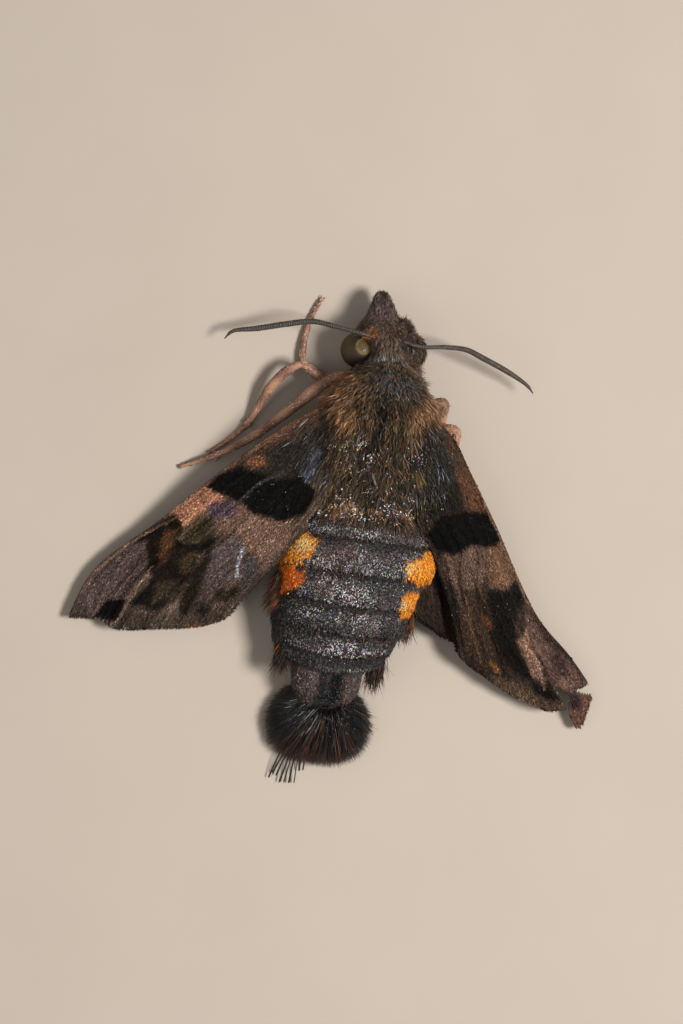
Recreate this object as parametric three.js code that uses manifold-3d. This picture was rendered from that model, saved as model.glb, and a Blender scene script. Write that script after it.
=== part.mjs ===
// A hummingbird hawk moth at rest on its belly, life size.
// Millimetres, +Z up, the floor at z = 0, the head towards -Y and the moth's own left towards +X.
// The origin is on the floor, under the middle of the thorax.
import * as THREE from 'three';
import { mergeVertices } from 'three/addons/utils/BufferGeometryUtils.js';
import Module from 'manifold-3d';

const wasm = await Module();
wasm.setup();

const point = (x, y, z) => new THREE.Vector3(x, y, z);
const section = (at, half, low, high) => ({ at, half, low, high });

// Driving dimensions
const seam = 0.2; // width of the thin cuts between named parts
const clearance = 0.35; // room that wings, legs and tufts keep from the trunk
const reach = 30; // past every part, for cutting shapes
const wingThickness = 0.55;
const feelerRadius = 0.27;
const tongueRadius = 0.25;
const eyeRadius = 1.3;
const eyePlace = { across: 1.75, along: -0.9, up: 3.0 }; // in the head's frame
const headTurn = THREE.MathUtils.degToRad(7); // the head looks a little to the moth's left
const neck = point(-0.5, -4.9, 0);
const waist = { front: -5.4, collarEnd: -3.3, thoraxEnd: 5.4, abdomenEnd: 17.0 };
const sway = { x: -0.5, from: -3, to: 8 }; // the front of the trunk leans this far to the right
const squareness = 0.84; // exponent of the body's sections: 1 is an ellipse, less is squarer

// Trunk: place along Y, half width, underside and back. What falls below the floor is cut flat there.
const trunkSections = [
  section(-5.4, 2.3, 0.9, 5.7),
  section(-4.4, 3.1, 0.6, 6.7),
  section(-2.4, 4.0, 0.1, 8.0),
  section(-0.4, 4.3, -0.3, 8.8),
  section(2.0, 4.2, -0.3, 8.8),
  section(5.4, 4.4, -0.1, 7.6),
  section(8.8, 5.5, -0.3, 7.2),
  section(11.6, 5.1, -0.3, 6.8),
  section(14.6, 4.5, -0.1, 5.7),
  section(17.0, 3.7, 0.4, 4.7),
];
const trunkSides = 24;
const collarBow = 1.3; // how far the collar's front edge reaches forward in the middle
const tailBow = 0.9; // how far the last ring's rear edge reaches back in the middle

// Abdomen: where each ring ends, how far its rear edge stands proud, and where two rings turn orange
const ringEnds = [5.4, 7.4, 9.8, 12.1, 14.2, 15.8, 17.0];
const ringFlare = 0.06;
const orangeFlanks = { abdomen_2: { inner: 3.4, low: 3.0 }, abdomen_3: { inner: 3.9, low: 2.8 } };

// Tufts on the flanks, from root to tip, and the radius at each end
const tufts = {
  tuft_left_front: [point(4.2, 12.0, 3.2), point(5.5, 13.5, 2.9)],
  tuft_left_rear: [point(3.2, 15.4, 2.9), point(4.2, 17.4, 2.4)],
  tuft_right_front: [point(-4.2, 12.0, 3.2), point(-5.2, 13.6, 2.9)],
  tuft_right_rear: [point(-3.2, 15.4, 2.9), point(-3.9, 17.2, 2.4)],
};
const tuftRadii = [1.0, 0.3];

// The pair of lobes behind the last ring, and the brush of long scales that they carry
const lobeSections = [
  section(16.8, 2.2, 0.9, 4.1),
  section(18.1, 2.4, 0.9, 4.2),
  section(19.3, 2.1, 1.1, 3.9),
];
const lobeSpan = { front: 16.8, rear: 18.9 };
const lobeBow = -0.3;
const furrowHalf = 0.25;
const fanSections = [
  section(18.7, 2.3, 1.1, 3.7),
  section(19.7, 3.4, 0.9, 3.3),
  section(21.0, 3.85, 0.6, 2.7),
  section(22.4, 3.5, 0.45, 1.9),
  section(23.4, 2.5, 0.4, 1.3),
  section(23.95, 1.2, 0.4, 1.0),
];
const fanSpan = { front: 19.2, rear: 23.95 };
const fanSplit = { front: 0.6, rear: 1.2 }; // half the width of the middle sector at each end

// Head and snout, in the head's own frame: the neck is at zero and the face looks to -Y
const headSections = [
  section(-3.1, 1.4, 1.4, 3.9),
  section(-2.4, 1.9, 1.0, 4.9),
  section(-1.5, 2.3, 0.8, 5.6),
  section(-0.4, 2.4, 0.7, 5.8),
  section(0.4, 2.2, 0.7, 5.6),
];
const palpSections = [
  section(-5.0, 0.25, 1.9, 2.5),
  section(-4.7, 0.45, 1.6, 3.0),
  section(-3.9, 0.85, 1.3, 3.6),
  section(-3.0, 1.25, 1.0, 3.9),
  section(-1.8, 1.3, 0.8, 3.4),
];
const tongue = { centre: point(0, -2.5, 1.15), turns: 1.15, inner: 0.3, growth: 0.52, steps: 14 };
const tongueSlot = { half: 0.5, front: -3.8, rear: -1.2, top: 2.3 };
const feelers = {
  antenna_left: [
    point(0.7, -1.7, 4.6), point(1.5, -1.9, 4.9), point(3.4, -2.4, 4.3), point(5.2, -2.8, 3.6),
    point(6.9, -2.6, 3.0), point(8.9, -2.25, 2.4), point(10.6, -2.0, 1.9), point(10.95, -1.6, 1.7),
  ],
  antenna_right: [
    point(-0.9, -1.6, 4.7), point(-2.2, -1.2, 4.8), point(-4.35, -1.2, 4.1), point(-5.9, -1.05, 3.6),
    point(-7.3, -0.45, 3.2), point(-9.1, 0.4, 2.7), point(-10.7, 1.35, 2.2), point(-11.1, 1.8, 2.0),
  ],
};

// Furry lappet over each wing's root: its middle on the left side, and its half sizes
const lappetPlace = point(3.3, -0.2, 6.0);
const lappetSize = point(1.35, 2.7, 1.7);

// Wings. `lead` is the front edge from root to tip, `trail` the inner edge from root to rear corner,
// and `tip` the outer edge from the front edge's end to the rear corner. `along` and `across` count
// the facets, and `arch` is how far the middle of the wing rises.
const wings = {
  forewing_left: {
    lead: [
      point(2.0, -2.6, 6.0), point(5.9, 0.3, 4.4), point(9.3, 3.6, 3.1),
      point(13.5, 8.2, 1.8), point(17.5, 12.3, 1.0), point(18.9, 16.0, 0.7),
    ],
    trail: [
      point(1.8, 2.4, 7.0), point(3.6, 6.2, 6.5), point(5.5, 9.8, 4.8),
      point(6.6, 11.6, 3.6), point(7.9, 14.4, 2.2),
    ],
    tip: [
      point(18.9, 16.0, 0.7), point(16.6, 15.8, 1.0), point(15.6, 16.25, 1.2),
      point(12.4, 15.8, 1.6), point(9.6, 15.2, 1.9), point(7.9, 14.4, 2.2),
    ],
    along: 20,
    across: 5,
    arch: 0.35,
    side: 1,
  },
  forewing_right: {
    lead: [
      point(-2.6, -2.6, 5.8), point(-5.9, -0.3, 4.6), point(-7.6, 1.8, 3.8), point(-10.1, 5.1, 2.9),
      point(-14.5, 11.3, 1.6), point(-17.5, 13.9, 1.1), point(-19.8, 16.3, 0.8),
    ],
    trail: [
      point(-2.4, 2.4, 6.9), point(-3.95, 6.3, 6.2), point(-5.2, 7.7, 5.4), point(-6.0, 9.0, 4.7),
      point(-7.2, 11.0, 3.8), point(-8.4, 13.5, 2.7), point(-8.9, 14.8, 2.2),
    ],
    tip: [
      point(-19.8, 16.3, 0.8), point(-19.1, 19.0, 0.5), point(-17.7, 17.8, 1.0), point(-16.4, 18.0, 1.2),
      point(-13.7, 17.3, 1.5), point(-11.0, 16.05, 1.8), point(-8.9, 14.8, 2.2),
    ],
    along: 20,
    across: 6,
    arch: 1.1,
    side: -1,
  },
  hindwing_left: {
    lead: [point(2.8, -0.2, 4.6), point(8.8, 5.4, 2.1), point(12.4, 10.2, 0.9)],
    trail: [point(2.6, 3.0, 5.0), point(5.0, 9.0, 3.8), point(6.9, 12.7, 1.8)],
    tip: [point(12.4, 10.2, 0.9), point(11.4, 12.4, 0.8), point(9.4, 13.0, 1.0), point(6.9, 12.7, 1.8)],
    along: 11,
    across: 5,
    arch: 0.2,
    side: 1,
  },
  hindwing_right: {
    lead: [point(-3.4, -0.2, 4.4), point(-9.0, 6.2, 2.1), point(-12.8, 11.2, 0.9)],
    trail: [point(-3.0, 4.0, 4.8), point(-4.7, 9.0, 3.8), point(-5.1, 12.3, 2.6)],
    tip: [point(-12.8, 11.2, 0.9), point(-12.0, 14.0, 1.0), point(-8.6, 13.9, 1.3), point(-5.1, 12.3, 2.6)],
    along: 11,
    across: 5,
    arch: 0.65,
    side: -1,
  },
};
const archStart = 0.15; // the arch is part of a sine along the wing: it starts this far into its rise
const archSpan = 0.75;
// The right forewing's worn tip: a slit behind the front edge, and a notch that leaves a loose corner
const tears = [
  [[-18.0, 16.4], [-19.1, 15.5], [-20.5, 15.2], [-20.5, 16.2], [-18.6, 16.4]],
  [[-16.3, 16.0], [-17.2, 16.2], [-17.8, 16.7], [-18.0, 17.6], [-18.0, 19.0], [-17.7, 19.0], [-17.6, 17.6]],
];

// Legs from the fur outwards: thigh, shank and foot. `radii` has one radius for each point of the path.
const legs = {
  leg_front_left: {
    path: [
      point(1.8, -3.2, 1.2), point(3.2, -3.5, 0.95), point(4.6, -4.15, 0.65), point(4.8, -5.3, 0.45),
      point(4.65, -6.8, 0.3), point(4.3, -8.0, 0.24), point(3.9, -8.9, 0.22),
    ],
    radii: [0.4, 0.35, 0.3, 0.28, 0.26, 0.25, 0.25],
  },
  leg_mid_left: {
    path: [
      point(2.4, -2.6, 1.9), point(4.0, -3.5, 2.1), point(5.05, -4.0, 2.15), point(5.9, -3.5, 1.9),
      point(6.9, -2.1, 1.3), point(7.9, 0.4, 0.5), point(9.0, 1.8, 0.24), point(10.4, 3.0, 0.22),
    ],
    radii: [0.35, 0.35, 0.32, 0.38, 0.42, 0.28, 0.26, 0.25],
  },
  leg_hind_left: {
    path: [
      point(1.8, -3.8, 3.4), point(2.8, -3.4, 3.3), point(4.3, -2.1, 3.0), point(6.2, 0.0, 2.2),
      point(8.2, 1.9, 1.5), point(10.0, 3.15, 1.0), point(12.35, 4.3, 0.22),
    ],
    radii: [0.35, 0.38, 0.48, 0.4, 0.32, 0.27, 0.25],
  },
  leg_front_right: {
    path: [
      point(-2.6, -3.2, 1.6), point(-3.3, -4.1, 1.3), point(-3.3, -5.1, 0.8),
      point(-2.6, -6.4, 0.3), point(-1.8, -7.6, 0.22),
    ],
    radii: [0.38, 0.36, 0.3, 0.26, 0.25],
  },
  leg_mid_right: {
    path: [
      point(-3.8, -2.0, 1.6), point(-5.45, -2.7, 2.0), point(-5.7, -1.4, 1.3), point(-7.2, 1.4, 0.7),
      point(-8.8, 4.2, 0.24), point(-10.0, 6.2, 0.22),
    ],
    radii: [0.4, 0.45, 0.36, 0.32, 0.26, 0.25],
  },
  leg_hind_right: {
    path: [
      point(-4.2, 0.2, 1.6), point(-5.6, -0.9, 2.4), point(-6.5, -0.9, 2.6), point(-6.7, 0.3, 2.2),
      point(-8.4, 4.0, 1.2), point(-10.6, 8.4, 0.24), point(-12.2, 11.4, 0.22),
    ],
    radii: [0.38, 0.38, 0.36, 0.32, 0.34, 0.27, 0.25],
  },
};

// Colour and surface of each material
const finishes = {
  thoraxFur: { color: 0x5b4a34, roughness: 0.9, metalness: 0 },
  headFur: { color: 0x564437, roughness: 0.9, metalness: 0 },
  eyeLens: { color: 0x6b5a22, roughness: 0.25, metalness: 0 },
  abdomenScales: { color: 0x37312f, roughness: 0.6, metalness: 0 },
  orangeScales: { color: 0xc8701c, roughness: 0.8, metalness: 0 },
  tailHair: { color: 0x1d1a1b, roughness: 0.6, metalness: 0 },
  wingScales: { color: 0x4a3730, roughness: 0.8, metalness: 0 },
  hindwingScales: { color: 0x3c2a1c, roughness: 0.8, metalness: 0 },
  legScales: { color: 0x94603f, roughness: 0.7, metalness: 0 },
  feelerScales: { color: 0x54433b, roughness: 0.7, metalness: 0 },
};

// A size at a place along a list of sections: a smooth cubic from each section to the next.
function sizeAt(sections, place, size) {
  const last = sections.length - 1;
  const start = Math.max(sections.findLastIndex((each) => each.at <= place), 0);
  const i = Math.min(start, last - 1);
  const slope = (k) => {
    const before = sections[Math.max(k - 1, 0)];
    const after = sections[Math.min(k + 1, last)];
    return (after[size] - before[size]) / (after.at - before.at);
  };
  const step = sections[i + 1].at - sections[i].at;
  const t = (place - sections[i].at) / step;
  const rise = t * t * (3 - 2 * t);
  const bend = t * (1 - t) * step;
  const straight = sections[i][size] * (1 - rise) + sections[i + 1][size] * rise;
  return straight + bend * ((1 - t) * slope(i) - t * slope(i + 1));
}

// Middle of the trunk from side to side, at a place along Y.
function midline(y) {
  return sway.x * (1 - THREE.MathUtils.smoothstep(y, sway.from, sway.to));
}

// How far an edge across the trunk reaches back at the middle, at a place along Y: forwards at the collar.
function bowAt(y) {
  const behind = (y - waist.thoraxEnd) / (waist.abdomenEnd - waist.thoraxEnd);
  const ahead = y / waist.front;
  return tailBow * Math.max(behind, 0) ** 2 - collarBow * Math.max(ahead, 0) ** 2;
}

// A welded geometry as a solid that can be cut and joined. A mirrored one is wound the other way.
function solid(geometry) {
  geometry.deleteAttribute('normal');
  geometry.deleteAttribute('uv');
  const welded = mergeVertices(geometry, 1e-5);
  const triVerts = new Uint32Array(welded.index.array);
  const mesh = new wasm.Mesh({ numProp: 3, vertProperties: welded.attributes.position.array, triVerts });
  const shape = new wasm.Manifold(mesh);
  if (shape.volume() > 0) return shape;
  mesh.triVerts = triVerts.reverse();
  return new wasm.Manifold(mesh);
}

// A primitive with every vertex moved by a function of its place, and none left below the floor.
function shaped(geometry, place) {
  const positions = geometry.attributes.position;
  for (let i = 0; i < positions.count; i += 1) {
    const moved = place(point(positions.getX(i), positions.getY(i), positions.getZ(i)));
    positions.setXYZ(i, moved.x, moved.y, Math.max(moved.z, 0));
  }
  return solid(geometry);
}

// A solid between two places along Y that takes its sections on the way, grown on all sides by `grow`.
// `flare` widens its rear end, `middle` and `bow` bend it, and `frame` turns it into another frame.
function loft(sections, {
  from, to, rows, sides, grow = 0, flare = 0, middle = () => 0, bow = () => 0, frame = new THREE.Matrix4(),
}) {
  const squared = (value) => Math.sign(value) * Math.abs(value) ** squareness;
  return shaped(new THREE.CylinderGeometry(1, 1, 1, sides, rows), (p) => {
    const share = p.y + 0.5;
    const y = THREE.MathUtils.lerp(from - grow, to + grow, share);
    const scale = 1 + flare * (share - 0.5);
    const half = sizeAt(sections, y, 'half') * scale + grow;
    const low = sizeAt(sections, y, 'low') - grow;
    const high = sizeAt(sections, y, 'high') * scale + grow;
    const across = squared(p.x);
    const up = squared(p.z);
    return point(
      middle(y) + half * across,
      y - bow(y) * across * across,
      (low + high) / 2 + (up * (high - low)) / 2,
    ).applyMatrix4(frame);
  });
}

// A stretch of the trunk between two places along Y.
function trunk(from, to, options) {
  return loft(trunkSections, { from, to, sides: trunkSides, middle: midline, bow: bowAt, ...options });
}

// The whole trunk with the room that other parts keep from it.
function trunkRoom() {
  return trunk(waist.front, waist.abdomenEnd, { rows: 16, grow: clearance });
}

// A rounded limb along a smooth path, with one radius for each of the path's points.
function limb(path, radii, { rows, sides }) {
  const curve = new THREE.CatmullRomCurve3(path);
  const lastPoint = path.length - 1;
  const upward = point(0, 0, 1);
  return shaped(new THREE.CylinderGeometry(1, 1, 1, sides, rows), (p) => {
    const share = p.y + 0.5;
    const along = curve.getTangent(share);
    const side = new THREE.Vector3().crossVectors(along, upward).normalize();
    const top = new THREE.Vector3().crossVectors(side, along);
    const i = Math.min(Math.floor(share * lastPoint), lastPoint - 1);
    const radius = THREE.MathUtils.lerp(radii[i], radii[i + 1], share * lastPoint - i);
    return curve.getPoint(share)
      .addScaledVector(side, radius * p.x)
      .addScaledVector(top, radius * p.z);
  });
}

// A thin plate over four edges: the place between the edges is a blend of all four, arched in the middle.
function plate({ lead, trail, tip, along, across, arch }) {
  const [leadEdge, trailEdge, tipEdge] = [lead, trail, tip].map((path) => new THREE.CatmullRomCurve3(path));
  const rootEdge = new THREE.LineCurve3(lead[0], trail[0]);
  return shaped(new THREE.BoxGeometry(1, 1, 1, along, across, 1), (p) => {
    const u = p.x + 0.5;
    const v = 0.5 - p.y;
    const place = point(0, 0, 0)
      .addScaledVector(leadEdge.getPointAt(u), 1 - v)
      .addScaledVector(trailEdge.getPointAt(u), v)
      .addScaledVector(rootEdge.getPointAt(v), 1 - u)
      .addScaledVector(tipEdge.getPoint(v), u)
      .addScaledVector(lead[0], -(1 - u) * (1 - v))
      .addScaledVector(trail[0], -(1 - u) * v)
      .addScaledVector(tip[0], -u * (1 - v))
      .addScaledVector(tip.at(-1), -u * v);
    place.z += arch * 4 * v * (1 - v) * Math.sin(Math.PI * (archStart + archSpan * u));
    place.z += wingThickness * p.z;
    return place;
  });
}

// An upright prism over an outline in plan, used to cut pieces.
function prism(outline, bottom = -reach, top = reach) {
  const shape = new THREE.Shape(outline.map(([x, y]) => new THREE.Vector2(x, y)));
  const geometry = new THREE.ExtrudeGeometry(shape, { depth: top - bottom, bevelEnabled: false });
  return solid(geometry.translate(0, 0, bottom));
}

// An upright block between two places in X and two in Y, used the same way.
function block([x0, x1], [y0, y1], bottom, top) {
  return prism([[x0, y0], [x1, y0], [x1, y1], [x0, y1]], bottom, top);
}

// A ball, or an egg where its radii differ.
function ball(centre, radii, segments) {
  const sphere = new THREE.SphereGeometry(1, segments, Math.round(segments * 0.7));
  return shaped(sphere, (p) => p.multiply(radii).add(centre));
}

// The biggest of the pieces that a cut leaves.
function largest(shape) {
  return shape.decompose().sort((a, b) => b.volume() - a.volume())[0];
}

// The two pieces of a pair, the moth's left one first.
function leftFirst(shape) {
  return shape.decompose().sort((a, b) => b.boundingBox().max[0] - a.boundingBox().max[0]);
}

// A solid as a named mesh in its own material.
function part(name, shape, finish) {
  const { vertProperties, triVerts } = shape.getMesh();
  const geometry = new THREE.BufferGeometry();
  geometry.setAttribute('position', new THREE.BufferAttribute(vertProperties, 3));
  geometry.setIndex(new THREE.BufferAttribute(triVerts, 1));
  geometry.computeVertexNormals();
  const mesh = new THREE.Mesh(geometry, new THREE.MeshStandardMaterial(finishes[finish]));
  mesh.name = name;
  return mesh;
}

// An eye, in the head's frame unless it is given another.
function eyeball(side, frame = new THREE.Matrix4()) {
  const centre = point(side * eyePlace.across, eyePlace.along, eyePlace.up).applyMatrix4(frame);
  return ball(centre, point(eyeRadius, eyeRadius, eyeRadius), 14);
}

// The room that both eyes take up in the head and the collar.
function eyeSeats(frame = new THREE.Matrix4()) {
  const radius = eyeRadius + seam;
  const [left, right] = [1, -1].map((side) => {
    const centre = point(side * eyePlace.across, eyePlace.along, eyePlace.up).applyMatrix4(frame);
    return ball(centre, point(radius, radius, radius), 10);
  });
  return left.add(right);
}

// The head with its eyes, palps, coiled tongue and feelers, in a frame that turns at the neck
function makeHead() {
  const group = new THREE.Group();
  group.position.copy(neck);
  group.rotation.z = headTurn;
  group.updateMatrix();
  const frame = group.matrix.clone().invert();

  const skull = (grow) => loft(headSections, { from: -3.1, to: 0.4, rows: 6, sides: 16, grow });
  const { half, front, rear, top } = tongueSlot;
  const slot = block([-half, half], [front, rear], -1, top);
  const collar = trunk(waist.front, waist.collarEnd, { rows: 3, grow: seam, frame });
  group.add(part('head', skull(0).subtract(collar).subtract(eyeSeats()).subtract(slot), 'headFur'));
  group.add(part('eye_left', eyeball(1), 'eyeLens'));
  group.add(part('eye_right', eyeball(-1), 'eyeLens'));
  group.add(part('proboscis', coiledTongue(), 'feelerScales'));

  const palps = loft(palpSections, { from: -5.0, to: -1.8, rows: 7, sides: 14 })
    .subtract(skull(seam))
    .subtract(slot)
    .subtract(block([-seam / 2, seam / 2], [-reach, reach]));
  const [left, right] = leftFirst(palps);
  group.add(part('palp_left', left, 'headFur'));
  group.add(part('palp_right', right, 'headFur'));

  for (const [name, path] of Object.entries(feelers)) {
    const feeler = limb(path, path.map(() => feelerRadius), { rows: 3 * (path.length - 1), sides: 7 });
    group.add(part(name, feeler.subtract(skull(seam)), 'feelerScales'));
  }
  return group;
}

// The tongue, wound in one flat turn under the face
function coiledTongue() {
  const path = Array.from({ length: tongue.steps + 1 }, (_, i) => {
    const turn = (tongue.turns * i) / tongue.steps;
    const radius = tongue.inner + tongue.growth * turn;
    const angle = Math.PI * 2 * turn;
    return point(0, radius * Math.cos(angle), radius * Math.sin(angle)).add(tongue.centre);
  });
  const curve = new THREE.CatmullRomCurve3(path);
  const sideways = point(1, 0, 0);
  return shaped(new THREE.CylinderGeometry(tongueRadius, tongueRadius, 1, 6, 18), (p) => {
    const share = p.y + 0.5;
    const outward = new THREE.Vector3().crossVectors(sideways, curve.getTangent(share));
    return curve.getPoint(share).addScaledVector(sideways, p.x).addScaledVector(outward, p.z);
  });
}

// The furry lappet over a wing's root, grown on all sides by `grow`.
function lappet(side, grow) {
  const centre = point(side * lappetPlace.x + sway.x, lappetPlace.y, lappetPlace.z);
  return ball(centre, lappetSize.clone().addScalar(grow), 12);
}

// Collar, thorax and the two shoulder lappets
function makeThorax() {
  const group = new THREE.Group();
  const headFrame = new THREE.Matrix4().makeRotationZ(headTurn).setPosition(neck);
  const collar = trunk(waist.front, waist.collarEnd - seam / 2, { rows: 3 });
  group.add(part('collar', collar.subtract(eyeSeats(headFrame)), 'thoraxFur'));

  const thorax = trunk(waist.collarEnd + seam / 2, waist.thoraxEnd - seam / 2, { rows: 6 });
  group.add(part('thorax', thorax.subtract(lappet(1, seam)).subtract(lappet(-1, seam)), 'thoraxFur'));
  group.add(part('tegula_left', lappet(1, 0), 'thoraxFur'));
  group.add(part('tegula_right', lappet(-1, 0), 'thoraxFur'));
  return group;
}

// Six rings, each a little wider at its rear edge, two of them with orange flanks, and the side tufts
function makeAbdomen() {
  const group = new THREE.Group();
  ringEnds.slice(0, -1).forEach((start, i) => {
    const name = `abdomen_${i + 1}`;
    const ring = trunk(start + seam / 2, ringEnds[i + 1] - seam / 2, { rows: 2, flare: ringFlare });
    if (!orangeFlanks[name]) {
      group.add(part(name, ring, 'abdomenScales'));
      return;
    }
    const { inner, low } = orangeFlanks[name];
    const left = (grow) => block([inner - grow, reach], [-reach, reach], low - grow, reach);
    const right = (grow) => block([-reach, grow - inner], [-reach, reach], low - grow, reach);
    group.add(part(name, ring.subtract(left(seam)).subtract(right(seam)), 'abdomenScales'));
    group.add(part(`${name}_flank_left`, ring.intersect(left(0)), 'orangeScales'));
    group.add(part(`${name}_flank_right`, ring.intersect(right(0)), 'orangeScales'));
  });
  for (const [name, path] of Object.entries(tufts)) {
    const tuft = limb(path, tuftRadii, { rows: 4, sides: 8 });
    group.add(part(name, tuft.subtract(trunkRoom()), 'abdomenScales'));
  }
  return group;
}

// The two tail lobes, parted by a furrow, and the fan in three sectors
function makeTail() {
  const group = new THREE.Group();
  const lastRing = trunk(waist.thoraxEnd, waist.abdomenEnd, { rows: 12, grow: seam });
  const bow = () => lobeBow;
  const lobes = loft(lobeSections, { from: lobeSpan.front, to: lobeSpan.rear, rows: 3, sides: 16, bow })
    .subtract(lastRing)
    .subtract(block([-furrowHalf, furrowHalf], [-reach, reach]));
  const [left, right] = leftFirst(lobes);
  group.add(part('tail_lobe_left', left, 'abdomenScales'));
  group.add(part('tail_lobe_right', right, 'abdomenScales'));

  const fan = loft(fanSections, { from: fanSpan.front, to: fanSpan.rear, rows: 8, sides: 18 });
  // A sector lies between two lines, each given by its place at the fan's front and at its rear
  const line = (side, shift) => [side * fanSplit.front + shift, side * fanSplit.rear + shift];
  const outside = (side) => [side * reach, side * reach];
  const sector = ([x0, x1], [x2, x3]) => prism([
    [x0, fanSpan.front - 1], [x2, fanSpan.front - 1], [x3, fanSpan.rear + 1], [x1, fanSpan.rear + 1],
  ]);
  const sectors = {
    tail_fan_left: sector(line(1, seam / 2), outside(1)),
    tail_fan_centre: sector(line(-1, seam / 2), line(1, -seam / 2)),
    tail_fan_right: sector(outside(-1), line(-1, -seam / 2)),
  };
  for (const [name, wedge] of Object.entries(sectors)) {
    group.add(part(name, fan.intersect(wedge), 'tailHair'));
  }
  return group;
}

// The four wings, each trimmed to clear the trunk and the lappet, and the right forewing's torn tip
function makeWings() {
  const group = new THREE.Group();
  for (const [name, wing] of Object.entries(wings)) {
    let shape = plate(wing).subtract(trunkRoom()).subtract(lappet(wing.side, seam));
    if (name === 'forewing_right') {
      for (const outline of tears) shape = shape.subtract(prism(outline));
    }
    group.add(part(name, largest(shape), name.startsWith('fore') ? 'wingScales' : 'hindwingScales'));
  }
  return group;
}

// Six legs, each from where it comes out of the fur, with a foot that lies on the floor
function makeLegs() {
  const group = new THREE.Group();
  for (const [name, { path, radii }] of Object.entries(legs)) {
    const leg = limb(path, radii, { rows: 3 * (path.length - 1), sides: 7 });
    group.add(part(name, largest(leg.subtract(trunkRoom())), 'legScales'));
  }
  return group;
}

const moth = new THREE.Group();
moth.add(makeHead(), makeThorax(), makeAbdomen(), makeTail(), makeWings(), makeLegs());

export default moth;
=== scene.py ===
import math

import bpy
import numpy as np
from mathutils import Matrix


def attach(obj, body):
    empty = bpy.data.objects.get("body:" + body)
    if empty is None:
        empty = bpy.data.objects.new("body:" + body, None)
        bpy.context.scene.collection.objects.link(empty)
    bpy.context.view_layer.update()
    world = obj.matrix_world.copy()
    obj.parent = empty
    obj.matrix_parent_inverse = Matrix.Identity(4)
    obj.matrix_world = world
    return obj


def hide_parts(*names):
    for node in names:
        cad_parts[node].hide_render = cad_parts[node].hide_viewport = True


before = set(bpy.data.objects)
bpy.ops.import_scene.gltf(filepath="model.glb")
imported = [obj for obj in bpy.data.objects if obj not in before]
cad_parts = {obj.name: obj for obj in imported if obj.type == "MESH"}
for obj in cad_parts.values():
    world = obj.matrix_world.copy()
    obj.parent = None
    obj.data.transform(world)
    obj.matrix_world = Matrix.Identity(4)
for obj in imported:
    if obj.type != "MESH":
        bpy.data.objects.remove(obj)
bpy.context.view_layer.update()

# A hummingbird hawk moth at rest. Sizes and places are in millimetres until a mesh is made.
# +Z is up, the head looks to -Y, the moth's own left is +X.
mm = 0.001
rng = np.random.default_rng(11)


# ---- camera, floor and light

view = {
    "target": (1.158, 5.867, 4.0),
    "tilt": 12,  # degrees off the plumb line, towards the moth's left
    "roll": 8,
    "lens": 150,
    "distance": 298.7,
}
studio = {
    "floorColour": (172, 159, 145),
    "floorShade": (165, 152, 138),
    "floorSize": 1500,
    "keyPlace": (-125, 5, 265),
    "keySize": 75,
    "keyPower": 1.15,
    "fillPlace": (170, 60, 240),
    "fillSize": 260,
    "fillPower": 0.25,
    "sky": 0.22,
}


def linear(colour):
    # from screen values, 0 to 255, to light: the power law of sRGB, with its straight foot
    c = np.asarray(colour, float) / 255
    return np.where(c <= 0.04045, c / 12.92, ((c + 0.055) / 1.055) ** 2.4)


def unit(v):
    # a vector over its own length
    return v / np.maximum(np.linalg.norm(v, axis=-1, keepdims=True), 1e-12)


def aim(place, target, up=(0, -1, 0)):
    # the matrix of an object at a place that looks at a target
    back = unit(np.subtract(place, target).astype(float))
    right = unit(np.cross(up, back))
    turned = np.column_stack([right, np.cross(back, right), back])
    return Matrix.Translation(np.multiply(place, mm)) @ Matrix(turned).to_4x4()


def makeCamera():
    tilt, roll = math.radians(view["tilt"]), math.radians(view["roll"])
    back = np.array([math.sin(tilt), 0, math.cos(tilt)])
    place = np.array(view["target"]) + back * view["distance"]
    sideways = np.cross((0, -1, 0), back)
    up = np.array([0, -1, 0]) * math.cos(roll) - sideways * math.sin(roll)
    lens = bpy.data.cameras.new("camera")
    lens.lens = view["lens"]
    lens.clip_start = 0.01
    camera = bpy.data.objects.new("camera", lens)
    camera.matrix_world = aim(place, view["target"], up)
    bpy.context.scene.collection.objects.link(camera)
    bpy.context.scene.camera = camera


def makeLight(name, place, size, power):
    light = bpy.data.lights.new(name, "AREA")
    light.size = size * mm
    light.energy = power
    lamp = bpy.data.objects.new(name, light)
    lamp.matrix_world = aim(place, (0, 7, 2))
    bpy.context.scene.collection.objects.link(lamp)


def makeSky():
    world = bpy.data.worlds.new("studio")
    world.use_nodes = True
    sky = world.node_tree.nodes["Background"].inputs
    sky["Color"].default_value = (1, 1, 1, 1)
    sky["Strength"].default_value = studio["sky"]
    bpy.context.scene.world = world
    bpy.context.scene.view_settings.view_transform = "Standard"


def makeFloor():
    half = studio["floorSize"] / 2 * mm
    mesh = bpy.data.meshes.new("floor")
    corners = [(x * half, y * half, 0) for x, y in ((-1, -1), (1, -1), (1, 1), (-1, 1))]
    mesh.from_pydata(corners, [], [(0, 1, 2, 3)])
    floor = bpy.data.objects.new("floor", mesh)
    bpy.context.scene.collection.objects.link(floor)
    f = Finish("floor")
    mesh.materials.append(f.surface(f.mix(studio["floorColour"], studio["floorShade"], f.grain(12, detail=3)),
                                    0.9))


# ---- materials

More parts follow.
